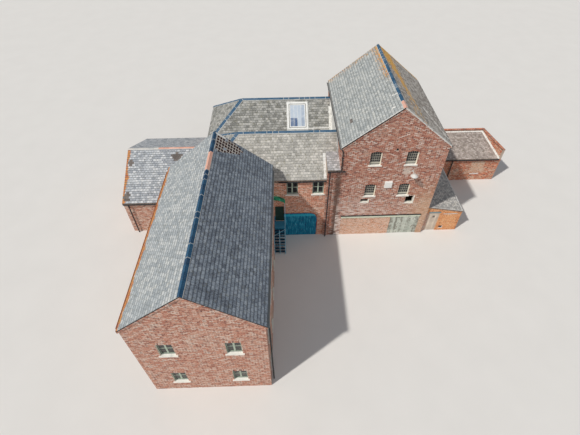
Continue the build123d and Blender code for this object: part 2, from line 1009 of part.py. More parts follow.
def build_door_frame():
    """The frame of the lean-to's door, with the two pins on which the door hangs."""
    with BuildPart() as frame:
        with BuildSketch(south_face(door_face_y)):
            Polygon(*upright(doorway_west + fit, doorway_east - fit, doorway_head - fit))
            Polygon(*upright(door_x, door_east, door_height), mode=Mode.SUBTRACT)
        extrude(amount=-frame_depth)
        for row in hinge_rows:
            eye_foot = row - hinge_height / 2 - fit
            with BuildSketch(Plane.XY.offset(eye_foot)):
                with Locations((hinge_x, hinge_y)):
                    Circle(hinge_pin_radius)
            extrude(amount=hinge_height + hinge_thick)
            with BuildSketch(Plane.XY.offset(eye_foot - pintle_height)):
                with Locations((hinge_x, hinge_y)):
                    Circle(hinge_eye_radius)
                Polygon(
                    (hinge_x - pintle_reach, hinge_y - hinge_pin_radius),
                    (hinge_x, hinge_y - hinge_pin_radius),
                    (hinge_x, hinge_y + hinge_pin_radius),
                    (hinge_x - hinge_eye_radius, hinge_y + hinge_pin_radius),
                    (hinge_x - hinge_eye_radius, door_face_y),
                    (hinge_x - pintle_reach, door_face_y),
                )
            extrude(amount=pintle_height)
    save("leanto_door_frame", frame)


def build_door():
    """The ledged door, with its spy hole, its ledges and the straps whose eyes turn on the pins."""
    face = south_face(door_face_y)
    leaf_east = door_east - door_clearance
    ledge_ends = (hinge_x + door_clearance, leaf_east - door_clearance)
    with BuildPart() as door:
        with BuildSketch(face):
            Polygon(*upright(hinge_x, leaf_east, door_height - door_clearance, 2 * door_clearance))
            with Locations((door_x + door_spy_x, door_spy_z)):
                Rectangle(door_spy_hole, door_spy_hole, mode=Mode.SUBTRACT)
        extrude(amount=-door_thick)
        with BuildSketch(face.offset(-door_thick)):
            for row in ledge_rows:
                Polygon(*upright(*ledge_ends, row + ledge_height / 2, row - ledge_height / 2))
        extrude(amount=-ledge_thick)
        for row in hinge_rows:
            with BuildSketch(Plane.XY.offset(row - hinge_height / 2)):
                with Locations((hinge_x, hinge_y)):
                    Circle(hinge_eye_radius)
                Polygon(
                    (hinge_x, hinge_y),
                    (hinge_x + 2 * hinge_thick, hinge_y),
                    (hinge_x + 2 * hinge_thick, door_face_y - hinge_thick),
                    (hinge_x + hinge_reach, door_face_y - hinge_thick),
                    (hinge_x + hinge_reach, door_face_y),
                    (hinge_x, door_face_y),
                )
                with Locations((hinge_x, hinge_y)):
                    Circle(hinge_pin_radius + fit, mode=Mode.SUBTRACT)
            extrude(amount=hinge_height)
    save("leanto_door", door)


def build_windows():
    """Frames, glass and sills of every window."""
    rows = (
        (south_face(front), True, block_windows),
        (north_face(back), True, mirrored(block_windows)),
        (east_face(half_width), True, block_side_windows),
        (south_face(link_front), False, link_windows),
        (north_face(link_back), False, mirrored(link_rear_windows)),
        (south_face(wing_south), False, wing_gable_windows),
        (east_face(0, wing), False, wing_side_windows),
        (west_face(-wing_width, wing), False, mirrored(wing_side_windows)),
    )
    glass_setback = window_setback + (frame_depth - glass_thick) / 2
    frames, sheets, ledges = [], [], []
    for face, arched, places in rows:
        ring = arched_frame if arched else casement_frame
        sheet = arched_pane if arched else casement_pane
        width = arched_width if arched else casement_width
        frames.append(fitted(face, ring, places, window_setback, frame_depth))
        sheets.append(fitted(face, sheet, places, glass_setback, glass_thick))
        ledges.append(sills(face, width, places))
    save("window_frames", *frames)
    save("window_glass", *sheets)
    save("window_sills", *ledges)


def build_floors():
    """Ground slabs on the earth, and the timber floors that the window rows show."""
    block_inside = (-half_width + wall, front + wall, half_width - wall, back - wall)
    link_inside = (link_west + link_wall, link_front + link_wall, link_east, link_back - link_wall)
    annex_inside = (annex_west + link_wall, annex_low + link_wall, link_west, annex_high - link_wall)
    leanto_inside = (half_width, leanto_front + thin_wall, leanto_east - thin_wall, yard_front)
    yard_inside = (
        half_width,
        yard_front + thin_wall,
        yard_east - outbuilding_taper - 2 * thin_wall,
        yard_back - thin_wall,
    )

    def slab_in(inside, top, thickness):
        low_x, low_y, high_x, high_y = inside
        return box_between((low_x, low_y, top - thickness), (high_x, high_y, top))

    def wing_slab(top, thickness):
        with BuildPart() as floor:
            with BuildSketch(Plane.XY.offset(top - thickness)):
                with Locations((wing_east - wing_half, link_front - wing_length / 2)):
                    Rectangle(wing_width * 2, wing_length * 2)
            extrude(amount=thickness)
            cut_back(
                facing((-wall, 0, 0), (1, 0, 0), wing),
                facing((wall - wing_width, 0, 0), (-1, 0, 0), wing),
                facing((0, link_front - wall, 0), (0, 1, 0)),
                facing((0, wing_south + wall, 0), (0, -1, 0)),
            )
        return floor

    save(
        "ground_floors",
        *[
            slab_in(inside, ground_slab, ground_slab)
            for inside in (block_inside, link_inside, annex_inside, leanto_inside, yard_inside)
        ],
        wing_slab(ground_slab, ground_slab),
    )
    save(
        "upper_floors",
        slab_in(block_inside, block_first_floor, floor_thick),
        slab_in(block_inside, block_second_floor, floor_thick),
        slab_in(link_inside, link_first_floor, floor_thick),
        wing_slab(link_first_floor, floor_thick),
    )


def build_rainwater():
    """Gutters along the eaves and the pipes that drain them."""
    drop = eaves_overhang * slope + slab / 2
    bay_edge = bay_eaves - eaves_overhang * bay_slope - bay_slab / 2
    yard_edge = outbuilding_eaves - eaves_overhang * yard_slope - yard_slab / 2
    annex_edge = annex_eaves - eaves_overhang * annex_slope - annex_slab / 2
    block_out = half_width + eaves_overhang
    yard_out = yard_east - thin_wall
    troughs = [
        gutter((block_out, front, block_eaves - drop), (block_out, back, block_eaves - drop)),
        gutter((-block_out, back, block_eaves - drop), (-block_out, front, block_eaves - drop)),
        gutter(
            (wing_east + wall, link_front - eaves_overhang, link_eaves - drop),
            (bay_west, link_front - eaves_overhang, link_eaves - drop),
        ),
        gutter(
            (link_east, link_back + eaves_overhang, link_eaves - drop),
            (link_west, link_back + eaves_overhang, link_eaves - drop),
        ),
        gutter((bay_west, front - eaves_overhang, bay_edge), (link_east, front - eaves_overhang, bay_edge)),
        gutter(
            (eaves_overhang, -wing_length, wing_eaves - drop),
            (eaves_overhang, -wall, wing_eaves - drop),
            wing,
        ),
        gutter(
            (-wing_width - eaves_overhang, -wall, wing_eaves - drop),
            (-wing_width - eaves_overhang, -wing_length, wing_eaves - drop),
            wing,
        ),
        gutter(
            (annex_west, annex_low - eaves_overhang, annex_edge),
            (link_west, annex_low - eaves_overhang, annex_edge),
        ),
        gutter(
            (link_west, annex_high + eaves_overhang, annex_edge),
            (annex_west, annex_high + eaves_overhang, annex_edge),
        ),
        gutter(
            (leanto_east, yard_front - eaves_overhang, yard_edge),
            (yard_out, yard_front - eaves_overhang, yard_edge),
        ),
    ]
    save("gutters", *troughs)
    out = eaves_overhang + gutter_width / 2
    wing_foot = wing.from_local_coords(Vector(out, -wing_length + wall, 0))
    wing_west_foot = wing.from_local_coords(Vector(-wing_width - out, -wing_length + wall, 0))
    above_leanto = leanto_top + pipe_radius * 2
    runs = (
        (bay_west + bay_pipe_place, front - out, 0, bay_edge),
        (half_width + out, yard_front / 2, above_leanto, block_eaves - drop),
        (wing_foot.X, wing_foot.Y, 0, wing_eaves - drop),
        (wing_west_foot.X, wing_west_foot.Y, 0, wing_eaves - drop),
        (link_west + wall, link_back + out, 0, link_eaves - drop),
        (annex_west + wall, annex_low - out, 0, annex_edge),
        (leanto_east + outbuilding_depth / 3, yard_front - out, 0, yard_edge),
    )
    pipes = [tube((x, y, low), (x, y, top - gutter_width / 2), pipe_radius) for x, y, low, top in runs]
    save("downpipes", *pipes)


def build_porch():
    """The steel landing with its stair and guard, the curved canopy and the upper door."""
    link_face = facing((0, link_front, 0), (0, 1, 0))
    with BuildPart() as landing:
        with BuildSketch(Plane.XY.offset(landing_height - landing_thick)):
            with Locations(wing.location):
                with Locations((landing_width / 2, 0)):
                    Rectangle(landing_width, 2 * landing_depth)
        extrude(amount=landing_thick)
        cut_back(link_face)
    save("porch_landing", landing)

    foot = -landing_depth - stair_going
    rise = landing_height / (tread_count + 1)
    going = stair_going / tread_count
    outline = (
        (-landing_depth, landing_height),
        (-landing_depth, landing_height - stringer_depth),
        (foot + stringer_depth * stair_going / landing_height, 0),
        (foot, 0),
    )
    with BuildPart() as stair:
        for x in (stringer_thick, landing_width):
            with BuildSketch(east_face(x, wing)):
                Polygon(*outline)
            extrude(amount=-stringer_thick)
        for step in range(1, tread_count + 1):
            top = step * rise
            nose = foot + (step - 1) * going
            with BuildSketch(east_face(landing_width - stringer_thick, wing)):
                Polygon(*upright(nose + going - tread_depth, nose + going, top, top - tread_thick))
            extrude(amount=2 * stringer_thick - landing_width)
    save("porch_stair", stair)

    columns = (upright_radius, landing_width / 2, landing_width - upright_radius)
    heights = (guard_west_height, guard_middle_height, guard_east_height)
    tops = [(x, -guard_distance, height) for x, height in zip(columns, heights)]

    def bar(start, end, radius=bar_radius):
        ends = [wing.from_local_coords(Vector(*point)) for point in (start, end)]
        return tube(*ends, radius)

    bars = [bar((x, y, 0), (x, y, top), upright_radius) for x, y, top in tops]
    level = [(columns[0], columns[2], guard_low_bar), (columns[1], columns[2], guard_high_bar)]
    for west_end, east_end, height in level:
        bars.append(bar((west_end, -guard_distance, height), (east_end, -guard_distance, height)))
    bars.append(bar(tops[0], tops[2]))
    pole_y = upright_radius - canopy_reach + canopy_thick
    pole_top = canopy_height - canopy_thick
    foot_of_pole = (columns[2], pole_y, landing_height)
    bars.append(bar(foot_of_pole, (columns[2], pole_y, pole_top), upright_radius))
    hand = landing_height + rail_height
    bars.append(bar((columns[2], pole_y, hand), (columns[2], -landing_depth, hand)))
    bars.append(bar((columns[2], -landing_depth, hand), (columns[2], -guard_distance, guard_low_bar)))
    save("porch_guard_rails", joined(*bars))

    with BuildPart() as canopy:
        with BuildSketch(south_face(link_front)):
            with BuildLine():
                high, low = canopy_height + canopy_rise, canopy_height
                crown = (wing_east + canopy_crown_out, canopy_height + canopy_crown_rise)
                upper = ThreePointArc((wing_east, high), crown, (wing_east + landing_width, low))
                lower = ThreePointArc(
                    (wing_east, high - canopy_thick),
                    (crown[0], crown[1] - canopy_thick),
                    (wing_east + landing_width, low - canopy_thick),
                )
                Line(upper @ 0, lower @ 0)
                Line(upper @ 1, lower @ 1)
            make_face()
        extrude(amount=canopy_reach)
    save("porch_canopy", canopy)

    corner_x, corner_z = porch_door_corner
    with BuildPart() as door:
        with BuildSketch(south_face(link_front + window_setback)):
            Polygon(
                *upright(
                    corner_x + fit,
                    corner_x + porch_door_width - fit,
                    corner_z + porch_door_height - fit,
                    corner_z + fit,
                )
            )
        extrude(amount=-porch_door_thick)
    save("porch_door", door)


def build_fittings():
    """The lamp and the cabinet on the gable."""
    gable = south_face(front)
    with BuildPart() as cabinet:
        with BuildSketch(gable):
            with Locations((block_x(cabinet_x), lower_arched_sill + cabinet_above_sill)):
                Rectangle(cabinet_width, cabinet_height)
        extrude(amount=cabinet_depth)
        chamfer(cabinet.faces().sort_by(Axis.Y)[0].edges(), cabinet_edge)
    save("gable_cabinet", cabinet)
    x, z = block_x(lamp_x), upper_arched_sill - lamp_below_sill
    with BuildPart() as lamp:
        with BuildSketch(gable):
            with Locations((x, z)):
                Rectangle(lamp_plate, lamp_plate)
        extrude(amount=lamp_plate_thick)
        with BuildSketch(gable):
            with Locations((x, z)):
                RegularPolygon(lamp_arm_radius, tube_sides)
        extrude(amount=lamp_arm)
        head_y = front - lamp_arm
        with BuildSketch(Plane.XY.offset(z + lamp_arm_radius)):
            with Locations((x, head_y)):
                RegularPolygon(lamp_head_top, 2 * tube_sides)
        with BuildSketch(Plane.XY.offset(z + lamp_arm_radius - lamp_head_height)):
            with Locations((x, head_y)):
                RegularPolygon(lamp_head_radius, 2 * tube_sides)
        loft()
    save("gable_lamp", lamp)


def main():
    os.makedirs("parts", exist_ok=True)
    block_tiles = build_block()
    build_cart_opening()
    link_tiles = build_link_roofs()
    build_link_walls()
    build_bay()
    wing_tiles = build_wing()
    annex_tiles = build_annex()
    save("ridge_tiles", block_tiles, *link_tiles, wing_tiles, annex_tiles)
    build_outbuilding()
    build_leanto()
    build_door_frame()
    build_door()
    build_windows()
    build_floors()
    build_rainwater()
    build_porch()
    build_fittings()


main()
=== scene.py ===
"""The tannery building dressed: slates, bricks, ridge tiles, window bars and weathered finishes."""

from math import atan2, ceil, cos, floor, pi, radians, sin, sqrt, tan

import bpy
import numpy as np
from mathutils import Matrix, Vector


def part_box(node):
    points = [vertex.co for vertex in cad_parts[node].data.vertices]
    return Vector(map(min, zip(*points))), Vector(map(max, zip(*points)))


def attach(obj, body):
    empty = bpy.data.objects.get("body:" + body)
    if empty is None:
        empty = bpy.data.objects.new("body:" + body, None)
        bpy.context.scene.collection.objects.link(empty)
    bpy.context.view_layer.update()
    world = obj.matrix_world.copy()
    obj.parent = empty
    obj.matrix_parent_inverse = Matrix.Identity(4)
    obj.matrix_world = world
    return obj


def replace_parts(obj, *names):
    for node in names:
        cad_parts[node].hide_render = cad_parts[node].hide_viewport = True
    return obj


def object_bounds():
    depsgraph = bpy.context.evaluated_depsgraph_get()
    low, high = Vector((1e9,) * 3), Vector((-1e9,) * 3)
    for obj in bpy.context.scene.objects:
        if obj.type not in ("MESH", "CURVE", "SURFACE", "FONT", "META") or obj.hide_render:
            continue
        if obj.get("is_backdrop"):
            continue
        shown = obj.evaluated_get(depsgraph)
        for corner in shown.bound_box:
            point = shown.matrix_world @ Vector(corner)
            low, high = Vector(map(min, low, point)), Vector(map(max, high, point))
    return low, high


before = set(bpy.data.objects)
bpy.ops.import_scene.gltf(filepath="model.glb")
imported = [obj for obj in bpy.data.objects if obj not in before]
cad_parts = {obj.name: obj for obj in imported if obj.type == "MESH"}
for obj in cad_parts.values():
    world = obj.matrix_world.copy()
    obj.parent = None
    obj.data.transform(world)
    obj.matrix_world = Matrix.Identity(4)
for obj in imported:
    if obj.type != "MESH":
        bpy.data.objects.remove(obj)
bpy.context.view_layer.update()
scene = bpy.context.scene

# Camera and light

PHOTO_WIDTH, FOCAL_PX = 580, 389.1
SENSOR = 36.0
YAW, PITCH, ROLL = radians(1.38), radians(46.32), radians(-0.50)
CAMERA_AT = (-8.3, -22.995, 26.2)

ahead = Vector((sin(YAW) * cos(PITCH), cos(YAW) * cos(PITCH), -sin(PITCH)))
level = Vector((cos(YAW), -sin(YAW), 0))
upward = level.cross(ahead)
rightward = level * cos(ROLL) + upward * sin(ROLL)
skyward = -level * sin(ROLL) + upward * cos(ROLL)
camera_data = bpy.data.cameras.new("camera")
camera_data.sensor_width = SENSOR
camera_data.lens = SENSOR * FOCAL_PX / PHOTO_WIDTH
camera_data.clip_end = 300
camera = bpy.data.objects.new("camera", camera_data)
scene.collection.objects.link(camera)
turn = Matrix((rightward, skyward, -ahead)).transposed()
camera.matrix_world = Matrix.Translation(CAMERA_AT) @ turn.to_4x4()
scene.camera = camera
scene.view_settings.view_transform = "Standard"


def sun(name, source, strength, angle, colour):
    data = bpy.data.lights.new(name, "SUN")
    data.energy, data.angle, data.color = strength, radians(angle), colour
    lamp = bpy.data.objects.new(name, data)
    lamp.rotation_mode = "QUATERNION"
    lamp.rotation_quaternion = (-Vector(source)).to_track_quat("-Z", "Y")
    scene.collection.objects.link(lamp)


sun("key", (-0.83, -0.56, 1.2), 2.75, 2.0, (1.0, 0.97, 0.93))
sun("fill", (0.35, -1.0, 0.75), 0.36, 40, (0.94, 0.97, 1.0))
world = bpy.data.worlds.new("world")
scene.world = world
world.use_nodes = True
sky = world.node_tree.nodes["Background"]
sky.inputs["Color"].default_value = (0.80, 0.88, 1.0, 1)
sky.inputs["Strength"].default_value = 0.28

# Sizes, in metres, as in the model

WALL, THIN, ROOF_THICK = 0.45, 0.23, 0.17
PITCH_ANGLE = radians(38.6)
SLOPE = tan(PITCH_ANGLE)
SLAB = ROOF_THICK / cos(PITCH_ANGLE)
HALF = 3.9
FRONT, BACK = -0.225, 9.775
EAVES = 9.5
RIDGE = EAVES + HALF * SLOPE
OVER, VERGE, LINK_SETBACK = 0.09, 0.045, 0.11
LINK_FRONT = FRONT + LINK_SETBACK
FRONT_RUN, VALLEY_RUN, REAR_RISE_RUN, RIDGE_RUN = 2.98, 2.51, 2.55, 7.8
FRONT_RIDGE_Y = LINK_FRONT + FRONT_RUN
VALLEY_Y = FRONT_RIDGE_Y + VALLEY_RUN
REAR_RIDGE_Y = VALLEY_Y + REAR_RISE_RUN
LINK_EAVES = 6.51
FRONT_RIDGE = LINK_EAVES + FRONT_RUN * SLOPE
VALLEY = FRONT_RIDGE - VALLEY_RUN * SLOPE
REAR_RIDGE = VALLEY + REAR_RISE_RUN * SLOPE
REAR_RUN = (REAR_RIDGE - LINK_EAVES) / SLOPE
LINK_BACK = REAR_RIDGE_Y + REAR_RUN
LINK_EAST = -HALF
LINK_WEST = LINK_EAST - RIDGE_RUN - FRONT_RUN
WING_EAST = LINK_EAST - 5.18
WING_WIDTH, WING_LENGTH, WING_EAVES = 7.54, 13.1, 7.99
HALF_WING = WING_WIDTH / 2
WING_RIDGE = WING_EAVES + HALF_WING * SLOPE
WING_SOUTH = LINK_FRONT - WING_LENGTH
SKEW = radians(-1.25)
BAY_WEST = LINK_EAST - 0.98
BAY_PITCH = radians(12.0)
BAY_SLOPE = tan(BAY_PITCH)
BAY_EAVES = LINK_EAVES + 0.94
BAY_TOP = LINK_FRONT + (BAY_EAVES - LINK_EAVES + LINK_SETBACK * BAY_SLOPE) / (SLOPE - BAY_SLOPE)
ANNEX_WEST = LINK_WEST - 7.08
ANNEX_Y, ANNEX_HALF, ANNEX_EAVES = FRONT + 5.68, 4.58, 3.52
ANNEX_PITCH = radians(25.5)
ANNEX_SLOPE = tan(ANNEX_PITCH)
ANNEX_SLAB = ROOF_THICK / cos(ANNEX_PITCH)
ANNEX_RIDGE = ANNEX_EAVES + ANNEX_HALF * ANNEX_SLOPE
YARD_DEPTH, YARD_EAVES = 3.7, 2.7
YARD_FRONT = FRONT + 6.95
YARD_BACK = YARD_FRONT + YARD_DEPTH
YARD_PITCH = radians(12.5)
YARD_SLOPE = tan(YARD_PITCH)
YARD_EAST = HALF + 9.15
TAPER, PARAPET, COPING = 0.65, 3.6, 3.66
LEAN_FRONT = FRONT + 0.25
LEAN_EAST = HALF + 3.17
LEAN_TOP, LEAN_THICK = 2.95, 0.11
LEAN_PITCH = radians(10.4)
LEAN_SLOPE = tan(LEAN_PITCH)

UP = Vector((0, 0, 1))
wing_x = Vector((cos(SKEW), sin(SKEW), 0))
wing_y = Vector((-sin(SKEW), cos(SKEW), 0))
wing_origin = Vector((WING_EAST, LINK_FRONT, 0))


def in_wing(x, site_y, z):
    """The point at x across the wing's own frame that lies on the site's line y."""
    along = (site_y - LINK_FRONT - x * sin(SKEW)) / cos(SKEW)
    return wing_origin + wing_x * x + wing_y * along + Vector((0, 0, z))


def wing_local(p):
    place = Vector(p) - wing_origin
    return place.dot(wing_x), place.dot(wing_y)


# Materials


def linear(colour):
    """A colour given as it looks on a screen, 0 to 255, turned linear; others stay as they are."""
    if not isinstance(colour, tuple) or len(colour) != 3:
        return colour
    shares = [v / 255 for v in colour]
    return (*(v / 12.92 if v <= 0.04045 else ((v + 0.055) / 1.055) ** 2.4 for v in shares), 1.0)


def shaded(colour, share):
    return tuple(min(1.0, v * share) for v in linear(colour)[:3]) + (1.0,)


class Finish:
    """A procedural material: sockets are made and joined through short calls."""

    def __init__(self, name, roughness=0.8, specular=0.5):
        self.material = bpy.data.materials.new(name)
        self.material.use_nodes = True
        self.tree = self.material.node_tree
        self.shader = self.tree.nodes["Principled BSDF"]
        self.shader.inputs["Roughness"].default_value = roughness
        self.shader.inputs["Metallic"].default_value = 0.0
        self.shader.inputs["Specular IOR Level"].default_value = specular
        self.place = self.tree.nodes.new("ShaderNodeTexCoord").outputs["Object"]

    def plug(self, socket, value):
        if hasattr(value, "is_output"):
            self.tree.links.new(value, socket)
        else:
            socket.default_value = value

    def node(self, kind, inputs=(), out=0, **settings):
        made = self.tree.nodes.new("ShaderNode" + kind)
        for key, value in settings.items():
            setattr(made, key, value)
        for key, value in dict(inputs).items():
            self.plug(made.inputs[key], value)
        return made.outputs[out]

    def axis(self, name, source=None):
        return self.node("SeparateXYZ", {0: source or self.place}, out=name)

    def facing_up(self):
        return self.axis("Z", self.node("NewGeometry", out="Normal"))

    def attribute(self, name, out="Fac"):
        return self.node("Attribute", out=out, attribute_name=name)

    def math(self, operation, a, b=0.0):
        return self.node("Math", {0: a, 1: b}, operation=operation)

    def vector(self, operation, a, b=(0, 0, 0), out=0):
        return self.node("VectorMath", {0: a, 1: b}, out=out, operation=operation)

    def times(self, a, *others):
        for b in others:
            a = self.math("MULTIPLY", a, b)
        return a

    def plus(self, a, b):
        return self.math("ADD", a, b)

    def blend(self, a, share_a, b, share_b):
        return self.plus(self.times(a, share_a), self.times(b, share_b))

    def noise(self, scale, detail=3.0, roughness=0.55, vector=None):
        inputs = {"Vector": vector or self.place, "Scale": scale, "Detail": detail, "Roughness": roughness}
        return self.node("TexNoise", inputs)

    def sway(self, amount, *noise):
        """A noise about 0, half the amount to either side."""
        return self.times(self.math("SUBTRACT", self.noise(*noise), 0.5), amount)

    def drawn(self, x, y, z, detail, roughness):
        """A noise drawn out along an axis, by its own scale along each."""
        stretched = self.node("Mapping", {"Vector": self.place, "Scale": (x, y, z)})
        return self.noise(1.0, detail, roughness, stretched)

    def span(self, value, low, high, start=0.0, end=1.0):
        inputs = {"Value": value, "From Min": low, "From Max": high, "To Min": start, "To Max": end}
        return self.node("MapRange", inputs, interpolation_type="SMOOTHSTEP")

    def within(self, name, low, high, soft=0.08, wander=0.0):
        """1 where the place's x, y or z lies between two values, with soft or wandering edges."""
        value = self.axis(name)
        if wander:
            value = self.plus(value, wander)
        rising = self.span(value, low - soft, low + soft)
        return self.times(rising, self.span(value, high - soft, high + soft, 1.0, 0.0))

    def ramp(self, value, *stops):
        made = self.tree.nodes.new("ShaderNodeValToRGB")
        self.plug(made.inputs[0], value)
        elements = made.color_ramp.elements
        while len(elements) < len(stops):
            elements.new(0.5)
        for element, (place, colour) in zip(elements, stops):
            element.position, element.color = place, linear(colour)
        return made.outputs[0]

    def mix(self, factor, a, b):
        return self.node("Mix", {0: factor, 6: linear(a), 7: linear(b)}, 2, data_type="RGBA")

    def colour(self, value):
        self.plug(self.shader.inputs["Base Color"], linear(value))

    def rough(self, value):
        self.plug(self.shader.inputs["Roughness"], value)

    def bump(self, height, distance=0.004, strength=0.6):
        """The finished material, with the height as its bump."""
        inputs = {"Height": height, "Distance": distance, "Strength": strength}
        self.plug(self.shader.inputs["Normal"], self.node("Bump", inputs, out="Normal"))
        return self.material


SLATE_WIDTH, GAUGE = 0.254, 0.215
PALE_LICHEN = (222, 222, 212)
GOLDEN = ((158, 84, 34), (224, 142, 40), (230, 176, 84), (142, 130, 58))
RUSTY = ((136, 62, 22), (204, 106, 30), (224, 152, 56), (136, 122, 44))
BRIGHT = ((212, 126, 44), (252, 178, 62), (255, 206, 104), (188, 170, 92))
SOOT = (70, 54, 50)


def with_lichen(f, base, grain, scale=7, crusts=GOLDEN, streak=1.0):
    """Orange crusts where the piece's own lichen number and a patchy noise together run high."""
    stretched = f.node("Mapping", {"Vector": f.place, "Scale": (1, streak, 1)})
    patches = f.noise(scale, 4, 0.75, stretched)
    reach = f.plus(f.attribute("lichen"), f.math("SUBTRACT", patches, 0.62))
    kind = f.blend(f.noise(3.6, 4, 0.7), 0.5, grain, 0.5)
    crust = f.ramp(kind, *zip((0.4, 0.47, 0.54, 0.62), crusts))
    return f.mix(f.span(reach, 0.3, 0.4, 0.0, 0.92), base, crust)


def slate_finish(
    name,
    dark,
    middle,
    pale,
    spots=PALE_LICHEN,
    spotted=0.4,
    joints=0.8,
    moss=0.3,
    vary=0.45,
    crusts=GOLDEN,
    streak=1.0,
):
    """Slates: own tones, grimy joints, pale spots, moss and the lichen that their place has."""
    f = Finish(name, roughness=0.72, specular=0.4)
    place = f.attribute("place", "Vector")
    across = f.axis("X", place)
    side = f.times(f.math("MINIMUM", across, f.math("SUBTRACT", 1.0, across)), SLATE_WIDTH)
    tail = f.span(f.axis("Y", place), 0.012, 0.075, joints, 0.0)
    edge = f.math("MAXIMUM", tail, f.span(side, 0.003, 0.018, 0.7 * joints, 0.0))
    cloud, patch, small = f.noise(0.5, 4, 0.6), f.noise(3.2, 3, 0.6), f.noise(14, 4, 0.7)
    grain = f.noise(26, 3, 0.6)
    clouds = f.blend(cloud, 0.4 * (1 - vary), patch, 0.6 * (1 - vary))
    shade = f.plus(f.times(f.attribute("tone"), vary), clouds)
    base = f.ramp(shade, (0.3, dark), (0.5, middle), (0.7, pale))
    base = f.mix(f.span(grain, 0.35, 0.8, 0.0, 0.3), base, pale)
    share = f.span(patch, 0.35, 0.65, 0.3, spotted)
    base = f.mix(f.times(f.span(small, 0.52, 0.62), share), base, spots)
    base = f.mix(f.span(small, 0.34, 0.46, 0.65, 0.0), base, shaded(dark, 0.55))
    base = f.mix(f.times(f.span(f.noise(5, 4, 0.7), 0.52, 0.66), moss), base, (128, 122, 92))
    base = with_lichen(f, base, grain, 7, crusts, streak)
    grime = f.times(edge, f.span(patch, 0.3, 0.6, 0.6, 1.0))
    f.colour(f.mix(grime, base, shaded(dark, 0.35)))
    f.rough(f.span(grain, 0.3, 0.7, 0.62, 0.85))
    return f.bump(f.plus(f.times(grain, 0.6), small), 0.004, 0.45)


# For each kind its dark, middle and pale colour, and what else isn't as usual

SLATES = {
    "pale_grey": ((148, 154, 155), (180, 184, 183), (202, 203, 198), dict(spotted=0.26, vary=0.34)),
    "pale_blue": ((152, 159, 163), (178, 184, 187), (202, 204, 202), dict(spotted=0.3, crusts=RUSTY)),
    # painted_shade_blue: the pale blue slate darkened as painted shade, for the wing's east slope that faces
    # away from the light
    "painted_shade_blue": (
        (78, 84, 96), (130, 140, 152), (166, 174, 182),
        dict(spots=(190, 196, 200), spotted=0.3, joints=0.75, vary=0.22),
    ),
    "brown": (
        (140, 130, 122), (184, 174, 163), (214, 207, 198),
        dict(joints=0.7, crusts=BRIGHT, streak=0.3),
    ),
    "tan": (
        (148, 146, 140), (181, 178, 171), (208, 204, 196),
        dict(spots=(228, 224, 212), spotted=0.5, joints=0.5, moss=0.5, vary=0.36),
    ),
    "bay": ((158, 156, 156), (194, 191, 192), (222, 219, 218), dict(joints=0.6, moss=0.4)),
    "grey": (
        (112, 112, 108), (154, 154, 149), (186, 184, 178),
        dict(spots=(212, 208, 198), spotted=0.6, joints=0.6, moss=0.45),
    ),
    "white_patched": (
        (144, 150, 158), (186, 191, 196), (216, 218, 219),
        dict(spots=(236, 236, 233), spotted=0.7, joints=0.9, crusts=RUSTY),
    ),
    "yard": ((142, 128, 120), (178, 163, 154), (206, 193, 184), dict(joints=0.5, moss=0.4)),
    "lean": ((148, 146, 144), (188, 183, 177), (216, 211, 203), dict(joints=0.5, spotted=0.6)),
}
slates = {}
for kind, (*colours, others) in SLATES.items():
    slates[kind] = slate_finish("slate_" + kind, *colours, **others)

PAINTED_MIDDLE, PAINTED_HALF, PAINTED_ROUND = (-7.3, 1.0, 0), (1.15, 1.05, 0), 0.66


def painted_over(f, base):
    """The link's front wall: a teal painted field, its corners round, with a red-brown edge."""
    flat = f.node("CombineXYZ", {0: f.axis("X"), 1: f.axis("Z")})
    gap = f.vector("ABSOLUTE", f.vector("SUBTRACT", flat, PAINTED_MIDDLE))
    past = f.vector("MAXIMUM", f.vector("SUBTRACT", gap, PAINTED_HALF))
    reach = f.plus(f.vector("LENGTH", past, out="Value"), f.sway(0.12, 3.5, 3))
    on_front = f.span(f.axis("Y"), LINK_FRONT + 0.02, LINK_FRONT + 0.04, 1.0, 0.0)
    edge = f.span(reach, PAINTED_ROUND, PAINTED_ROUND + 0.04)
    rim = f.times(edge, f.span(reach, PAINTED_ROUND + 0.06, PAINTED_ROUND + 0.1, 1.0, 0.0))
    streak = f.drawn(9, 9, 1.2, 5, 0.65)
    teal = f.ramp(streak, (0.3, (4, 84, 118)), (0.5, (10, 120, 154)), (0.68, (80, 182, 206)))
    worn = f.span(f.noise(14, 4, 0.7), 0.6, 0.7, 1.0, 0.6)
    base = f.mix(f.times(rim, on_front), base, (150, 66, 44))
    inside = f.times(f.math("SUBTRACT", 1.0, edge), on_front)
    band = f.times(f.within("Z", 2.36, 2.62, 0.03), inside, 0.7)
    return f.mix(f.times(inside, worn), base, f.mix(band, teal, (60, 190, 214)))


def link_marks(f, base):
    """The link's front: the painted field and a pale strip beside the bay."""
    strip = f.times(f.within("X", -5.8, -4.9, 0.02), f.within("Z", 3.23, 3.35, 0.015), 0.75)
    return f.mix(strip, painted_over(f, base), (226, 214, 198))


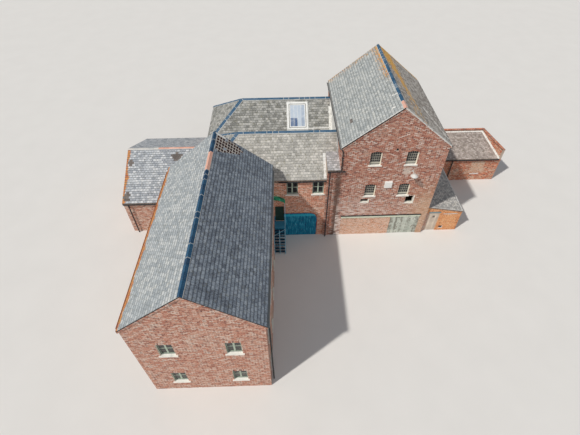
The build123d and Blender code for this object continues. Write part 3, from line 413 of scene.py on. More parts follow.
def gable_marks(f, base):
    """The gable: damp beside the bay, a render patch, a pale foot and a buff lower corner."""
    x, z = f.axis("X"), f.axis("Z")
    beside = f.math("ABSOLUTE", f.plus(f.plus(x, 3.95), f.sway(0.5, 1.6, 3)))
    damp = f.times(f.span(beside, 0.05, 0.42, 0.8, 0.0), f.span(z, 6.6, 7.3, 1.0, 0.0))
    base = f.mix(damp, base, (88, 70, 62))
    salts = f.drawn(1.5, 1.5, 9, 5, 0.7)
    foot = f.times(f.span(z, 2.4, 5.2, 0.9, 0.0), f.span(salts, 0.42, 0.6))
    foot = f.times(f.times(foot, f.span(x, -3.95, -3.88)), f.span(x, -2.4, 0.5, 1.0, 0.3))
    base = f.mix(foot, base, (236, 222, 212))
    buff = f.times(f.span(x, 1.2, 3.6), f.span(z, 3.0, 7.0, 0.52, 0.0))
    base = f.mix(buff, base, (208, 174, 140))
    ragged = f.sway(0.7, 4.5, 4, 0.7)
    patch = f.times(f.within("X", 0.9, 1.5, 0.05, ragged), f.within("Z", 6.85, 7.5, 0.05, ragged), 0.6)
    return f.mix(patch, base, (222, 214, 202))


def brick_finish(name, colours, pale=(208, 188, 172), marks=None):
    """Bricks: own colours, darkest to palest, with soot, salts, grain and marks of their place."""
    f = Finish(name, roughness=0.88, specular=0.25)
    base = f.ramp(f.attribute("tone"), *zip((0.0, 0.25, 0.5, 0.75, 1.0), colours))
    cloud, patch, grain = f.noise(0.7, 4, 0.6), f.noise(13, 4, 0.65), f.noise(40, 3, 0.65)
    base = f.mix(f.span(cloud, 0.48, 0.75, 0.0, 0.25), base, pale)
    base = f.mix(f.span(patch, 0.52, 0.62, 0.0, 0.6), base, pale)
    base = f.mix(f.span(patch, 0.36, 0.47, 0.6, 0.0), base, SOOT)
    base = f.mix(f.span(grain, 0.3, 0.6, 0.3, 0.0), base, SOOT)
    f.colour(marks(f, base) if marks else base)
    return f.bump(grain, 0.003, 0.5)


# The bricks' colours, darkest to palest

STOCK = ((88, 68, 70), (172, 102, 82), (202, 136, 112), (206, 168, 150), (240, 222, 210))
LINK = ((148, 104, 88), (214, 138, 108), (236, 166, 136), (240, 194, 168), (246, 222, 204))
PINK = ((122, 86, 80), (190, 124, 102), (214, 156, 132), (218, 184, 166), (236, 216, 200))
YARD = ((112, 78, 66), (198, 108, 76), (226, 140, 102), (216, 170, 140), (236, 214, 190))
ORANGE = ((196, 118, 72), (234, 154, 100), (244, 180, 126), (248, 204, 158), (250, 224, 194))
INFILL = ((160, 104, 80), (202, 138, 106), (222, 164, 134), (230, 188, 162), (238, 208, 190))
bricks = {
    "gable": brick_finish("brick_gable", STOCK, marks=gable_marks),
    "stock": brick_finish("brick_stock", STOCK),
    "link": brick_finish("brick_link", LINK, marks=link_marks),
    "pink": brick_finish("brick_wing", PINK),
    "yard": brick_finish("brick_yard", YARD),
    "orange": brick_finish("brick_orange", ORANGE, (230, 190, 148)),
    "infill": brick_finish("brick_infill", INFILL, (232, 208, 188)),
}


def mortar_finish(name, joint, marks=None):
    """What shows of a wall between and behind its bricks: lime mortar, grimed and patched."""
    f = Finish(name, roughness=0.95, specular=0.2)
    grain = f.noise(60, 3, 0.7)
    shade = f.blend(f.noise(0.8, 4, 0.6), 0.7, grain, 0.3)
    base = f.ramp(shade, (0.32, shaded(joint, 0.6)), (0.5, joint), (0.68, shaded(joint, 1.25)))
    f.colour(marks(f, base) if marks else base)
    return f.bump(grain, 0.003, 0.5)


mortars = {
    "stock": mortar_finish("mortar_stock", (196, 178, 162)),
    "gable": mortar_finish("mortar_gable", (196, 178, 162), gable_marks),
    "link": mortar_finish("mortar_link", (206, 186, 168), link_marks),
    "orange": mortar_finish("mortar_orange", (214, 184, 154)),
}


def worn_paint(name, paint, under, share=0.62, roughness=0.55, scale=18):
    """Old paint that has come off in patches over what is under it, and gathered dirt."""
    f = Finish(name, roughness=roughness)
    flakes = f.noise(scale, 5, 0.7)
    base = f.mix(f.span(flakes, share, share + 0.05), paint, under)
    f.colour(f.mix(f.span(f.noise(2.2, 4, 0.6), 0.5, 0.8, 0.0, 0.35), base, (96, 90, 80)))
    f.rough(f.span(flakes, 0.4, 0.7, roughness, min(0.95, roughness + 0.25)))
    return f.bump(flakes, 0.002, 0.4)


def old_wood(name, light, dark, across=(30, 30, 1.6)):
    """Weathered wood with its grain along the long direction."""
    f = Finish(name, roughness=0.85, specular=0.25)
    grain = f.drawn(*across, 5, 0.65)
    shade = f.blend(grain, 0.6, f.noise(1.4, 3), 0.25)
    shade = f.plus(shade, f.times(f.attribute("tone"), 0.15))
    f.colour(f.ramp(shade, (0.34, dark), (0.62, light)))
    return f.bump(grain, 0.004, 0.6)


def clay_finish():
    """Ridge tiles: blue-black or orange clay by their tone, pale mortar collars, some lichen."""
    f = Finish("clay_ridge", roughness=0.5, specular=0.5)
    grain = f.noise(22, 4, 0.65)
    blues = ((0.0, (8, 56, 88)), (0.25, (26, 80, 112)), (0.5, (70, 102, 128)), (0.6, (140, 152, 160)))
    pales = ((0.7, (210, 206, 198)), (0.85, (208, 146, 122)), (1.0, (236, 184, 162)))
    base = f.ramp(f.attribute("tone"), *blues, *pales)
    base = f.mix(f.span(grain, 0.54, 0.7, 0.0, 0.45), base, (140, 156, 166))
    f.colour(with_lichen(f, base, grain, 9))
    f.rough(f.span(grain, 0.3, 0.7, 0.4, 0.7))
    return f.bump(grain, 0.003, 0.4)


def fillet_finish():
    """Mortar fillets and sheet flashings, from grey to nearly white by their tone, streaked."""
    f = Finish("fillet", roughness=0.75, specular=0.3)
    streak = f.noise(6, 5, 0.7)
    grey = f.ramp(streak, (0.3, (84, 84, 82)), (0.5, (128, 130, 130)), (0.7, (170, 172, 170)))
    white = f.ramp(streak, (0.3, (176, 170, 162)), (0.46, (226, 224, 218)), (0.7, (244, 244, 240)))
    f.colour(f.mix(f.attribute("tone"), grey, white))
    return f.bump(streak, 0.006, 0.6)


def roof_body_finish():
    """What shows of a roof under its slates: plastered edges, and boards and battens beneath."""
    f = Finish("roof_body", roughness=0.9, specular=0.2)
    upright_share = f.span(f.math("ABSOLUTE", f.facing_up()), 0.1, 0.3, 1.0, 0.0)
    plaster = f.ramp(f.noise(9, 4, 0.65), (0.35, (92, 78, 70)), (0.65, (168, 150, 134)))
    wood = f.ramp(f.drawn(24, 1.5, 24, 5, 0.6), (0.35, (44, 36, 32)), (0.65, (84, 70, 58)))
    f.colour(f.mix(upright_share, wood, plaster))
    return f.bump(f.noise(30, 3), 0.003, 0.4)


def glass_finish(name, tint, dusty, roughness, toned=False, film=(0.45, 0.4)):
    """Old glass, some of whose panes show the dark behind, with a film of dust."""
    f = Finish(name, roughness=roughness, specular=0.6)
    dust = f.noise(3.0, 4, 0.6)
    base = f.mix(f.attribute("tone"), (84, 106, 142), tint) if toned else tint
    f.colour(f.mix(f.span(dust, film[0], film[0] + 0.25, 0.0, film[1]), base, dusty))
    f.rough(f.span(dust, 0.35, 0.7, roughness, roughness + 0.3))
    return f.bump(f.noise(1.2, 2), 0.01, 0.15)


def frame_finish():
    """Window frames: painted almost black on the tall block as the shade of its deep reveals, grey-green
    elsewhere.
    """
    f = Finish("window_frame_paint", roughness=0.6)
    flakes = f.noise(18, 5, 0.7)
    on_block = f.span(f.axis("X"), LINK_EAST - 0.08, LINK_EAST - 0.02)
    # The near-black colour on the tall block is painted shade of the reveals, not the frames' own paint.
    colour = f.mix(on_block, (108, 122, 112), (52, 50, 46))
    f.colour(f.mix(f.span(flakes, 0.58, 0.64), colour, (66, 60, 54)))
    return f.bump(flakes, 0.002, 0.4)


def board_panel_finish():
    """The boarding under the beam: grey-white paint flaking off grey wood."""
    f = Finish("peeling_boards", roughness=0.8, specular=0.25)
    grain = f.drawn(22, 22, 2.0, 4, 0.6)
    flakes = f.blend(f.noise(4, 6, 0.75), 0.8, f.attribute("tone"), 0.14)
    paint = f.ramp(f.noise(2.0, 4), (0.3, (176, 182, 170)), (0.7, (220, 222, 210)))
    under = f.ramp(grain, (0.35, (88, 84, 76)), (0.65, (138, 132, 118)))
    f.colour(f.mix(f.span(flakes, 0.44, 0.56, 0.0, 0.8), paint, under))
    return f.bump(f.blend(flakes, 0.7, grain, 0.3), 0.004, 0.5)


def concrete_finish():
    f = Finish("worn_concrete", roughness=0.9, specular=0.25)
    cloud, grain = f.noise(0.9, 5, 0.65), f.noise(30, 3, 0.7)
    base = f.ramp(cloud, (0.3, (120, 116, 108)), (0.7, (160, 156, 146)))
    f.colour(f.mix(f.span(grain, 0.3, 0.7, 0.0, 0.4), base, (100, 96, 90)))
    return f.bump(grain, 0.003, 0.4)


def gutter_finish():
    """Black iron gutters; the one along the wing's west side is full of rust and moss."""
    f = Finish("gutter_iron", roughness=0.55)
    flakes = f.noise(18, 5, 0.7)
    base = f.mix(f.span(flakes, 0.66, 0.7), (40, 42, 46), (112, 84, 66))
    rusts = ((0.38, (132, 72, 28)), (0.48, (204, 110, 36)), (0.56, (222, 160, 70)), (0.64, (140, 130, 56)))
    crust = f.ramp(f.noise(9, 4, 0.7), *rusts)
    high = f.span(f.axis("Z"), 7.5, 7.6)
    lengthwise = f.math("MAXIMUM", f.within("X", -9.3, -8.6), f.within("X", -4.045, -3.9, 0.01))
    # The lengthwise gutters are paler grey on their upward faces.
    paler_upward = f.times(f.times(lengthwise, high), f.span(f.facing_up(), 0.15, 0.4, 0.0, 0.85))
    base = f.mix(paler_upward, base, (158, 160, 158))
    beside_wing = f.times(f.span(f.axis("X"), -16.3, -16.2, 1.0, 0.0), high)
    f.colour(f.mix(beside_wing, base, crust))
    return f.bump(flakes, 0.002, 0.4)


def reveal_finish():
    """The vents' rendered reveals: white near the face, darkening further in as painted shade of the recess.
    """
    f = Finish("vent_render", roughness=0.85, specular=0.25)
    depth = f.plus(f.axis("Y"), f.times(f.noise(8, 4), 0.12))
    recess_shade = f.span(depth, FRONT + 0.14, FRONT + 0.36)
    # The dark end of the ramp is painted shade inside the vent.
    f.colour(f.ramp(recess_shade, (0.0, (236, 232, 220)), (1.0, (40, 44, 38))))
    return f.bump(f.noise(20, 3), 0.003, 0.4)


def canopy_finish():
    f = Finish("green_sheet", roughness=0.35, specular=0.5)
    greens = ((0.35, (10, 92, 72)), (0.5, (30, 170, 128)), (0.7, (84, 214, 170)))
    f.colour(f.ramp(f.noise(3, 4, 0.6), *greens))
    return f.bump(f.noise(18, 3), 0.002, 0.3)


# For each paint its colour and what is under it, then the share kept, roughness and scale

PAINTS = {
    "cream_paint": ((240, 232, 214), (176, 160, 140), 0.66),
    "grey_bar_paint": ((186, 182, 168), (112, 104, 92), 0.6),
    "grey_green_paint": ((176, 188, 170), (112, 104, 92)),
    "white_paint": ((238, 237, 232), (176, 168, 156), 0.66),
    "painted_sill": ((240, 236, 226), (188, 176, 160), 0.64, 0.8),
    "black_iron": ((36, 38, 42), (104, 78, 62), 0.68, 0.5),
    "blue_green_steel": ((66, 146, 178), (128, 84, 60), 0.66, 0.5, 22),
    "pale_blue_steel": ((150, 204, 226), (206, 190, 176), 0.6, 0.5, 22),
    # painted_shade_blue_steel: the porch stair's blue steel painted near black as the deep shade it stands in
    "painted_shade_blue_steel": ((16, 62, 86), (64, 48, 40), 0.64, 0.6, 22),
    "pale_green_beam": ((216, 222, 200), (176, 160, 138), 0.62, 0.7),
    "dark_flashing_and_shade": ((36, 38, 38), (84, 84, 80), 0.66, 0.6),
    "bluish_lintel": ((120, 146, 152), (176, 162, 140), 0.58, 0.7),
    "dark_green_door": ((10, 52, 42), (60, 66, 56), 0.64, 0.5),
    "lamp_metal": ((216, 214, 208), (120, 104, 92), 0.62, 0.45),
}
paints = {name: worn_paint(name, *values) for name, values in PAINTS.items()}
WOODS = {
    "door_wood": ((230, 214, 196), (182, 166, 150)),
    "floor_wood": ((140, 112, 84), (90, 68, 50), (20, 1.2, 20)),
    "batten_wood": ((220, 214, 206), (172, 160, 150), (18, 18, 18)),
    "roof_void": ((84, 56, 48), (30, 28, 32), (9, 9, 9)),
    "roof_felt": ((134, 126, 120), (90, 84, 80), (9, 9, 9)),
}
woods = {name: old_wood(name, *values) for name, values in WOODS.items()}
SKY_TINTS = ((196, 207, 218), (214, 218, 220), 0.3)
clay, peeling = clay_finish(), board_panel_finish()

# Making meshes


class Piece:
    """A mesh put together from flat shapes, with a tone for each face and numbers for its points."""

    def __init__(self, name, finish, slot, body="building"):
        self.name, self.finish, self.slot, self.body = name, finish, slot, body
        self.points, self.faces, self.tones = [], [], []
        self.lichen, self.places = [], []

    def shape(self, points, faces, tone=0.5, lichen=(), places=()):
        first = len(self.points)
        self.points.extend(points)
        self.faces.extend(tuple(first + i for i in face) for face in faces)
        self.tones.extend([tone] * len(faces))
        self.lichen.extend(lichen)
        self.places.extend(places)

    def prism(self, plane, outline, low, high, tone=0.5, **numbers):
        """A closed prism on the plane from low to high; high may be a function of the place."""
        count = len(outline)
        top = [plane.at(u, v, high(u, v) if callable(high) else high) for u, v in outline]
        base = [plane.at(u, v, low) for u, v in outline]
        faces = [tuple(range(count)), tuple(reversed(range(count, 2 * count)))]
        faces += [(i, i + count, (i + 1) % count + count, (i + 1) % count) for i in range(count)]
        self.shape(top + base, faces, tone, **numbers)

    def block(self, plane, u, v, n, tone=0.5):
        """A block between two places each along the plane's u, v and normal."""
        self.prism(plane, upright(u[0], v[0], u[1], v[1]), *n, tone)

    def box(self, plane, box, n, tone=0.5):
        """A block over a box (u0, v0, u1, v1) of the plane."""
        self.prism(plane, upright(*box), *n, tone)

    def finish_piece(self):
        mesh = bpy.data.meshes.new(self.name)
        mesh.from_pydata(self.points, [], self.faces)
        mesh.attributes.new("tone", "FLOAT", "FACE").data.foreach_set("value", self.tones)
        if self.lichen:
            mesh.attributes.new("lichen", "FLOAT", "POINT").data.foreach_set("value", self.lichen)
        if self.places:
            flat = np.array(self.places, np.float32).ravel()
            mesh.attributes.new("place", "FLOAT_VECTOR", "POINT").data.foreach_set("vector", flat)
        mesh.materials.append(self.finish)
        made = bpy.data.objects.new(self.name, mesh)
        scene.collection.objects.link(made)
        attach(made, self.body)
        return made


class Face:
    """A flat face: a corner, a direction along it, a direction up it and the way it looks."""

    def __init__(self, origin, along, up):
        self.origin = Vector(origin)
        self.along = Vector(along).normalized()
        self.up = Vector(up).normalized()
        self.out = self.along.cross(self.up).normalized()

    def at(self, u, v, n=0.0):
        return self.origin + self.along * u + self.up * v + self.out * n

    def flat(self, point):
        gap = Vector(point) - self.origin
        return gap.dot(self.along), gap.dot(self.up)


class Slope(Face):
    """The face through three places of a roof: an eaves line's left and right end, and a higher one."""

    def __init__(self, surface, *places):
        self.surface = surface
        low_left, low_right, higher = (Vector(surface(x, y)) for x, y in places[:3])
        out = (low_right - low_left).cross(higher - low_left)
        super().__init__(low_left, low_right - low_left, out.cross(low_right - low_left))

    def outline(self, *places):
        return [self.flat(self.surface(x, y)) for x, y in places]


def facing_south(y):
    return Face((0, y, 0), (1, 0, 0), UP)


def facing_north(y):
    return Face((0, y, 0), (-1, 0, 0), UP)


def facing_east(x):
    return Face((x, 0, 0), (0, 1, 0), UP)


def facing_west(x):
    return Face((x, 0, 0), (0, -1, 0), UP)


def upright(u0, v0, u1, v1):
    return [(u0, v0), (u1, v0), (u1, v1), (u0, v1)]


def around(shape):
    """Each corner of a shape with the next one."""
    return zip(shape, shape[1:] + shape[:1])


def signed_area(shape):
    return sum(p[0] * q[1] - q[0] * p[1] for p, q in around(shape))


def sides_of(outline):
    """The outline's sides as half planes a, b, c, with a u + b v <= c inside."""
    outline = list(outline)
    if signed_area(outline) < 0:
        outline = outline[::-1]
    planes = []
    for p, q in around(outline):
        a, b = q[1] - p[1], p[0] - q[0]
        length = sqrt(a * a + b * b)
        planes.append((a / length, b / length, (a * p[0] + b * p[1]) / length))
    return planes


def clipped(shape, planes):
    """The part of a convex shape inside the planes."""
    for a, b, c in planes:
        depths = [a * u + b * v - c for u, v in shape]
        if max(depths) <= 1e-9:
            continue
        kept = []
        for (point, after), (depth, next_depth) in zip(around(shape), around(depths)):
            if depth <= 0:
                kept.append(point)
            if depth * next_depth < 0:
                share = depth / (depth - next_depth)
                kept.append(tuple(p + (q - p) * share for p, q in zip(point, after)))
        shape = kept
        if len(shape) < 3:
            return []
    return shape


def less(box, hole):
    """What is left of an upright box (u0, v0, u1, v1) outside the hole."""
    u0, v0, u1, v1 = box
    a0, b0, a1, b1 = hole
    if a0 >= u1 or a1 <= u0 or b0 >= v1 or b1 <= v0:
        return [box]
    low, high = max(u0, a0), min(u1, a1)
    rest = [(u0, v0, a0, v1), (a1, v0, u1, v1), (low, v0, high, b0), (low, b1, high, v1)]
    return [(p, q, r, s) for p, q, r, s in rest if r > p and s > q]


def bounds_of(outline):
    across, upwards = zip(*outline)
    return min(across), min(upwards), max(across), max(upwards)


def near(value, centre, reach):
    """1 at the centre, falling to 0 at the reach from it."""
    return max(0.0, 1 - abs(value - centre) / reach)


# Slates

SLATE_RISE, SLATE_LAP, SMALLEST_SLATE = 0.012, 0.03, 4e-4
SLIP, SLIPPED_OVER, TURNED_OVER, DARK_OVER = 0.04, 0.993, 0.9, 0.96
BATTEN_LOW, BATTEN_HIGH, BATTEN_DEPTH = 0.07, 0.03, 0.02
SMALL_SLATES = {"gauge": 0.17, "width": 0.2}
battens = Piece("roof_battens", woods["batten_wood"], "slate")
voids = Piece("roof_voids", woods["roof_void"], "slate")
felts = Piece("roof_felts", woods["roof_felt"], "slate")


def lay_slates(
    name, finish, slope, regions, seed, lichen=None, missing=None, bare=False, gauge=GAUGE, width=SLATE_WIDTH
):
    """Slates over a roof slope; each region is a convex outline of places over it."""
    piece = Piece(name, slates[finish], "slate")
    for region in regions:
        outline = slope.outline(*region)
        sides = sides_of(outline)
        low_u, low_v, high_u, high_v = bounds_of(outline)
        for row in range(floor(low_v / gauge + 1e-6), ceil(high_v / gauge)):
            start = -0.5 * width * (row % 2)
            first, last = floor((low_u - start) / width) - 1, floor((high_u - start) / width) + 1
            for column in range(first, last):
                dice = np.random.default_rng((seed, row + 50, column + 500)).random(6)
                left = start + column * width + 0.0015 + 0.003 * dice[0]
                right = left + width - 0.004 - 0.003 * dice[1]
                slip = SLIP if dice[3] > SLIPPED_OVER else 0
                tail = row * gauge + 0.01 * (dice[2] - 0.5) - slip
                head = (row + 1) * gauge + SLATE_LAP
                turned = 0.02 * (dice[3] - 0.5) if dice[0] > TURNED_OVER else 0
                shape = [(left, tail + turned), (right, tail - turned), (right, head), (left, head)]
                shape = clipped(shape, sides)
                if len(shape) < 3 or abs(signed_area(shape)) / 2 < SMALLEST_SLATE:
                    continue
                middle = slope.at((left + right) / 2, (tail + head) / 2)
                if missing and missing(middle, dice[4]):
                    if bare:
                        voids.prism(slope, shape, 0.0, 0.003, dice[0])
                        batten = (left, head - BATTEN_LOW, right, head - BATTEN_HIGH)
                        battens.box(slope, batten, (0.003, BATTEN_DEPTH), dice[1])
                    else:
                        felts.prism(slope, shape, 0.0, 0.005, dice[0])
                    continue
                rise = SLATE_RISE + 0.005 * dice[5]

                def height(u, v, tail=tail, head=head, rise=rise):
                    return rise * (head - v) / (head - tail) + 0.003

                places = [((u - left) / (right - left), v - tail, 0.0) for u, v in shape] * 2
                crusts = [lichen(slope.at(u, v)) if lichen else 0.0 for u, v in shape] * 2
                tone = dice[4] * 0.3 if dice[1] > DARK_OVER else dice[4]
                piece.prism(slope, shape, 0.001, height, tone, lichen=crusts, places=places)
    piece.finish_piece()


def pitched(level, start, tangent=SLOPE, axis=1):
    """A roof's surface at the level where y, or x for axis 0, is at the start, rising by the tangent."""
    return lambda x, y: (x, y, level + ((x, y)[axis] - start) * tangent)


def ridged(ridge, middle, tangent, axis):
    """Both slopes of a roof whose ridge lies over the middle."""
    return lambda x, y: (x, y, ridge - abs((x, y)[axis] - middle) * tangent)


verge_south, verge_north = FRONT - VERGE, BACK + VERGE
out_x = HALF + OVER


def block_west_lichen(p):
    """Orange specks along the ridge and the north verge of the tall block's west slope."""
    ridge = 0.58 * near(p.x, 0, 1.5) * min(1, max(0, p.y - 0.8) / 4)
    return max(ridge, 0.46 * near(p.y, verge_north, 2.8))


def block_east_lichen(p):
    """An orange band by the ridge of the east slope, widest at the north, further out at the south."""
    north = min(1.0, max(0.0, p.y / BACK))
    band = (0.46 + 0.3 * north) * near(p.x, 0.4 + 1.3 * (1 - north), 0.6 + 1.1 * north)
    return max(band, 0.75 * near(p.y, verge_north, 0.6), 0.42 * near(p.x, 1.0, 2.4))


def slate_gone(p, dice):
    """Two slates gone low on the west slope."""
    return abs(p.x + 3.06) < 0.12 and abs(p.y - 2.09) < 0.24


block_surface = ridged(RIDGE, 0, SLOPE, 0)
region = ((-out_x, verge_north), (-out_x, verge_south), (0, verge_south), (0, verge_north))
block_west_slope = Slope(block_surface, *region)
lay_slates("block_slates_west", "pale_grey", block_west_slope, [region], 11, block_west_lichen, slate_gone)
region = ((out_x, verge_south), (out_x, verge_north), (0, verge_north), (0, verge_south))
block_east_slope = Slope(block_surface, *region)
lay_slates("block_slates_east", "brown", block_east_slope, [region], 12, block_east_lichen)

# The long wing

WING_VERGE = WING_SOUTH - VERGE
WING_OPEN = [(-3.62, -0.2), (-2.5, -0.12), (-1.95, -0.6), (-2.45, -1.4), (-3.52, -2.05)]
RAFTER_GAP, RAFTER = 0.3, 0.045
wing_open_sides = sides_of(WING_OPEN)


def fallen(p, dice):
    """Slates gone near the north end of the wing's east slope, which bares the battens."""
    x, y = wing_local(p)
    return dice < 0.93 and all(a * x + b * y <= c for a, b, c in wing_open_sides)


def wing_rust(p):
    """A rusty mark beside the open part, under the ridge."""
    x, y = wing_local(p)
    return 0.8 * near(x, -3.62, 0.22) * near(y, -0.9, 0.7)


def wing_eaves_lichen(p):
    """Orange crusts along the wing's west eaves, with a wandering upper edge."""
    x, y = wing_local(p)
    return 0.9 * near(x, -WING_WIDTH - OVER, 0.36 + 0.12 * sin(2.1 * y) + 0.08 * sin(5.3 * y))


def wing_height(x):
    return WING_RIDGE - abs(x + HALF_WING) * SLOPE


def wing_surface(x, site_y):
    return in_wing(x, site_y, wing_height(x))


region = ((OVER, WING_VERGE), (OVER, LINK_FRONT), (-HALF_WING, LINK_FRONT), (-HALF_WING, WING_VERGE))
wing_east_slope = Slope(wing_surface, *region)
# The wing's east slope takes the darkened blue slate: painted shade of the side away from the light.
lay_slates("wing_slates_east", "painted_shade_blue", wing_east_slope, [region], 13, wing_rust, fallen, True)
open_outline = []
for x, y in WING_OPEN:
    point = wing_origin + wing_x * x + wing_y * y
    point.z = wing_height(x)
    open_outline.append(wing_east_slope.flat(point))
low_u, low_v, high_u, high_v = bounds_of(open_outline)
for n in range(1, ceil((high_u - low_u) / RAFTER_GAP)):
    u = low_u + n * RAFTER_GAP
    outline = clipped(upright(u - RAFTER, low_v, u, high_v), sides_of(open_outline))
    if len(outline) > 2:
        battens.prism(wing_east_slope, outline, 0.003, 0.014, 0.7)
wing_eaves_x = -WING_WIDTH - OVER
region = ((wing_eaves_x, LINK_FRONT), (wing_eaves_x, WING_VERGE))
region += ((-HALF_WING, WING_VERGE), (-HALF_WING, LINK_FRONT))
lay_slates("wing_slates_west", "pale_blue", Slope(wing_surface, *region), [region], 14, wing_eaves_lichen)

# The link's two roofs, hipped at the west end

south_y, north_y = LINK_FRONT - OVER, LINK_BACK + OVER
ridge_y, rear_y = FRONT_RIDGE_Y, REAR_RIDGE_Y
hip_west = LINK_WEST - OVER
front_end, rear_end = LINK_WEST + FRONT_RUN, LINK_WEST + REAR_RUN
valley_hip = LINK_WEST + (VALLEY - LINK_EAVES) / SLOPE
notch_east = WING_EAST + VERGE

front_surface = pitched(LINK_EAVES, LINK_FRONT)
front = Slope(front_surface, (hip_west, south_y), (LINK_EAST, south_y), (LINK_EAST, ridge_y))
regions = [
    upright(notch_east, south_y, BAY_WEST, ridge_y),
    upright(BAY_WEST, BAY_TOP, LINK_EAST, ridge_y),
    ((LINK_WEST, LINK_FRONT), (notch_east, LINK_FRONT), (notch_east, ridge_y), (front_end, ridge_y)),
]
lay_slates("link_slates_front", "tan", front, regions, 15, lambda p: 0.07)
region = ((LINK_EAST, VALLEY_Y), (valley_hip, VALLEY_Y), (front_end, ridge_y), (LINK_EAST, ridge_y))
falling = pitched(FRONT_RIDGE, ridge_y, -SLOPE)
lay_slates("link_slates_valley", "grey", Slope(falling, *region), [region], 16)

SKY_HALF, SKY_REACH, SKY_UP = 0.89, 1.21, 1.61
sky_x = LINK_EAST - 2.96
sky_low = VALLEY_Y + (SKY_UP - SKY_REACH) * cos(PITCH_ANGLE)
sky_high = VALLEY_Y + (SKY_UP + SKY_REACH) * cos(PITCH_ANGLE)
sky_west, sky_east = sky_x - SKY_HALF, sky_x + SKY_HALF
rear = Slope(pitched(VALLEY, VALLEY_Y), (valley_hip, VALLEY_Y), (LINK_EAST, VALLEY_Y), (LINK_EAST, rear_y))
regions = [
    ((valley_hip, VALLEY_Y), (sky_west, VALLEY_Y), (sky_west, rear_y), (rear_end, rear_y)),
    upright(sky_east, VALLEY_Y, LINK_EAST, rear_y),
    upright(sky_west, VALLEY_Y, sky_east, sky_low),
    upright(sky_west, sky_high, sky_east, rear_y),
]
lay_slates("link_slates_rear", "grey", rear, regions, 17, lambda p: 0.06 + 0.34 * near(p.y, rear_y, 0.6))
region = ((LINK_EAST, north_y), (hip_west, north_y), (rear_end, rear_y), (LINK_EAST, rear_y))
falling = pitched(REAR_RIDGE, rear_y, -SLOPE)
lay_slates("link_slates_north", "grey", Slope(falling, *region), [region], 18)
hip_surface = pitched(LINK_EAVES, LINK_WEST, axis=0)
hip = Slope(hip_surface, (hip_west, north_y), (hip_west, LINK_FRONT), (front_end, ridge_y))
south_part = ((hip_west, VALLEY_Y), (hip_west, LINK_FRONT), (LINK_WEST, LINK_FRONT), (front_end, ridge_y))
regions = [
    ((hip_west, north_y), (hip_west, VALLEY_Y), (valley_hip, VALLEY_Y), (rear_end, rear_y)),
    (*south_part, (valley_hip, VALLEY_Y)),
]
lay_slates("link_slates_west", "grey", hip, regions, 19)
bay_surface = pitched(BAY_EAVES, FRONT, BAY_SLOPE)
region = upright(BAY_WEST, FRONT - OVER, LINK_EAST, BAY_TOP)
lay_slates("bay_slates", "bay", Slope(bay_surface, *region), [region], 20, lambda p: 0.08)

# The annex, the outbuilding and the lean-to

ANNEX_GAPS = ((-17.5, 4.64, 0.42, 0.36), (-21.5, 1.35, 0.24, 0.4), (-21.4, 4.2, 0.2, 0.42))
annex_south = ANNEX_Y - ANNEX_HALF - OVER
annex_north = ANNEX_Y + ANNEX_HALF + OVER
annex_verge = ANNEX_WEST - VERGE


def annex_hole(p, dice):
    """The places on the annex roof where slates have gone."""
    gaps = [((p.x - x) / a) ** 2 + ((p.y - y) / b) ** 2 for x, y, a, b in ANNEX_GAPS]
    return min(gaps) < 0.8 + 0.5 * dice


def annex_lichen(p):
    return 0.95 * near(p.x, annex_verge, 0.4 + 0.14 * sin(2.7 * p.y) + 0.08 * sin(7 * p.y))


annex_surface = ridged(ANNEX_RIDGE, ANNEX_Y, ANNEX_SLOPE, 1)
region = upright(annex_verge, annex_south, LINK_WEST, ANNEX_Y)
annex_south_slope = Slope(annex_surface, *region)
lay_slates("annex_slates_south", "white_patched", annex_south_slope, [region], 21, annex_lichen, annex_hole)
region = upright(LINK_WEST, annex_north, annex_verge, ANNEX_Y)
annex_north_slope = Slope(annex_surface, *region)
lay_slates("annex_slates_north", "white_patched", annex_north_slope, [region], 22)

yard_south, yard_top = YARD_FRONT - OVER, YARD_BACK - THIN
taper_length = sqrt(YARD_DEPTH**2 + TAPER**2)


def yard_edge_x(y):
    """The inner face of the outbuilding's east parapet at y."""
    return YARD_EAST - THIN * taper_length / YARD_DEPTH - (y - YARD_FRONT) * TAPER / YARD_DEPTH


yard_surface = pitched(YARD_EAVES, YARD_FRONT, YARD_SLOPE)
yard_corner = (yard_edge_x(yard_top), yard_top)
yard_low_corner = (yard_edge_x(yard_south), yard_south)
region = ((HALF, yard_south), yard_low_corner, yard_corner, (HALF, yard_top))
yard = Slope(yard_surface, *region)
lay_slates("outbuilding_slates", "yard", yard, [region], 23, lambda p: 0.1, **SMALL_SLATES)
lean_out, lean_south = LEAN_EAST + VERGE, LEAN_FRONT - VERGE
region = ((lean_out, lean_south), (lean_out, yard_south), (HALF, yard_south), (HALF, lean_south))
lean = Slope(pitched(LEAN_TOP, HALF, -LEAN_SLOPE, 0), *region)
lay_slates("leanto_slates", "lean", lean, [region], 24, **SMALL_SLATES)
for piece in (voids, felts, battens):
    piece.finish_piece()

# Ridge and hip tiles

RIDGE_THICK, RIDGE_ROLL, RIDGE_LENGTH, ROLL_FOOT, ROLL_SUNK = 0.02, 0.032, 0.45, 0.045, 0.006
COLLAR, COLLAR_PROUD = 0.045, 0.008
COLLAR_TONE, BED_TONE, ORANGE_TONE = 0.66, 0.69, 0.95


def slope_normal(along, tangent=SLOPE):
    return (Vector(along) * tangent + UP).normalized()


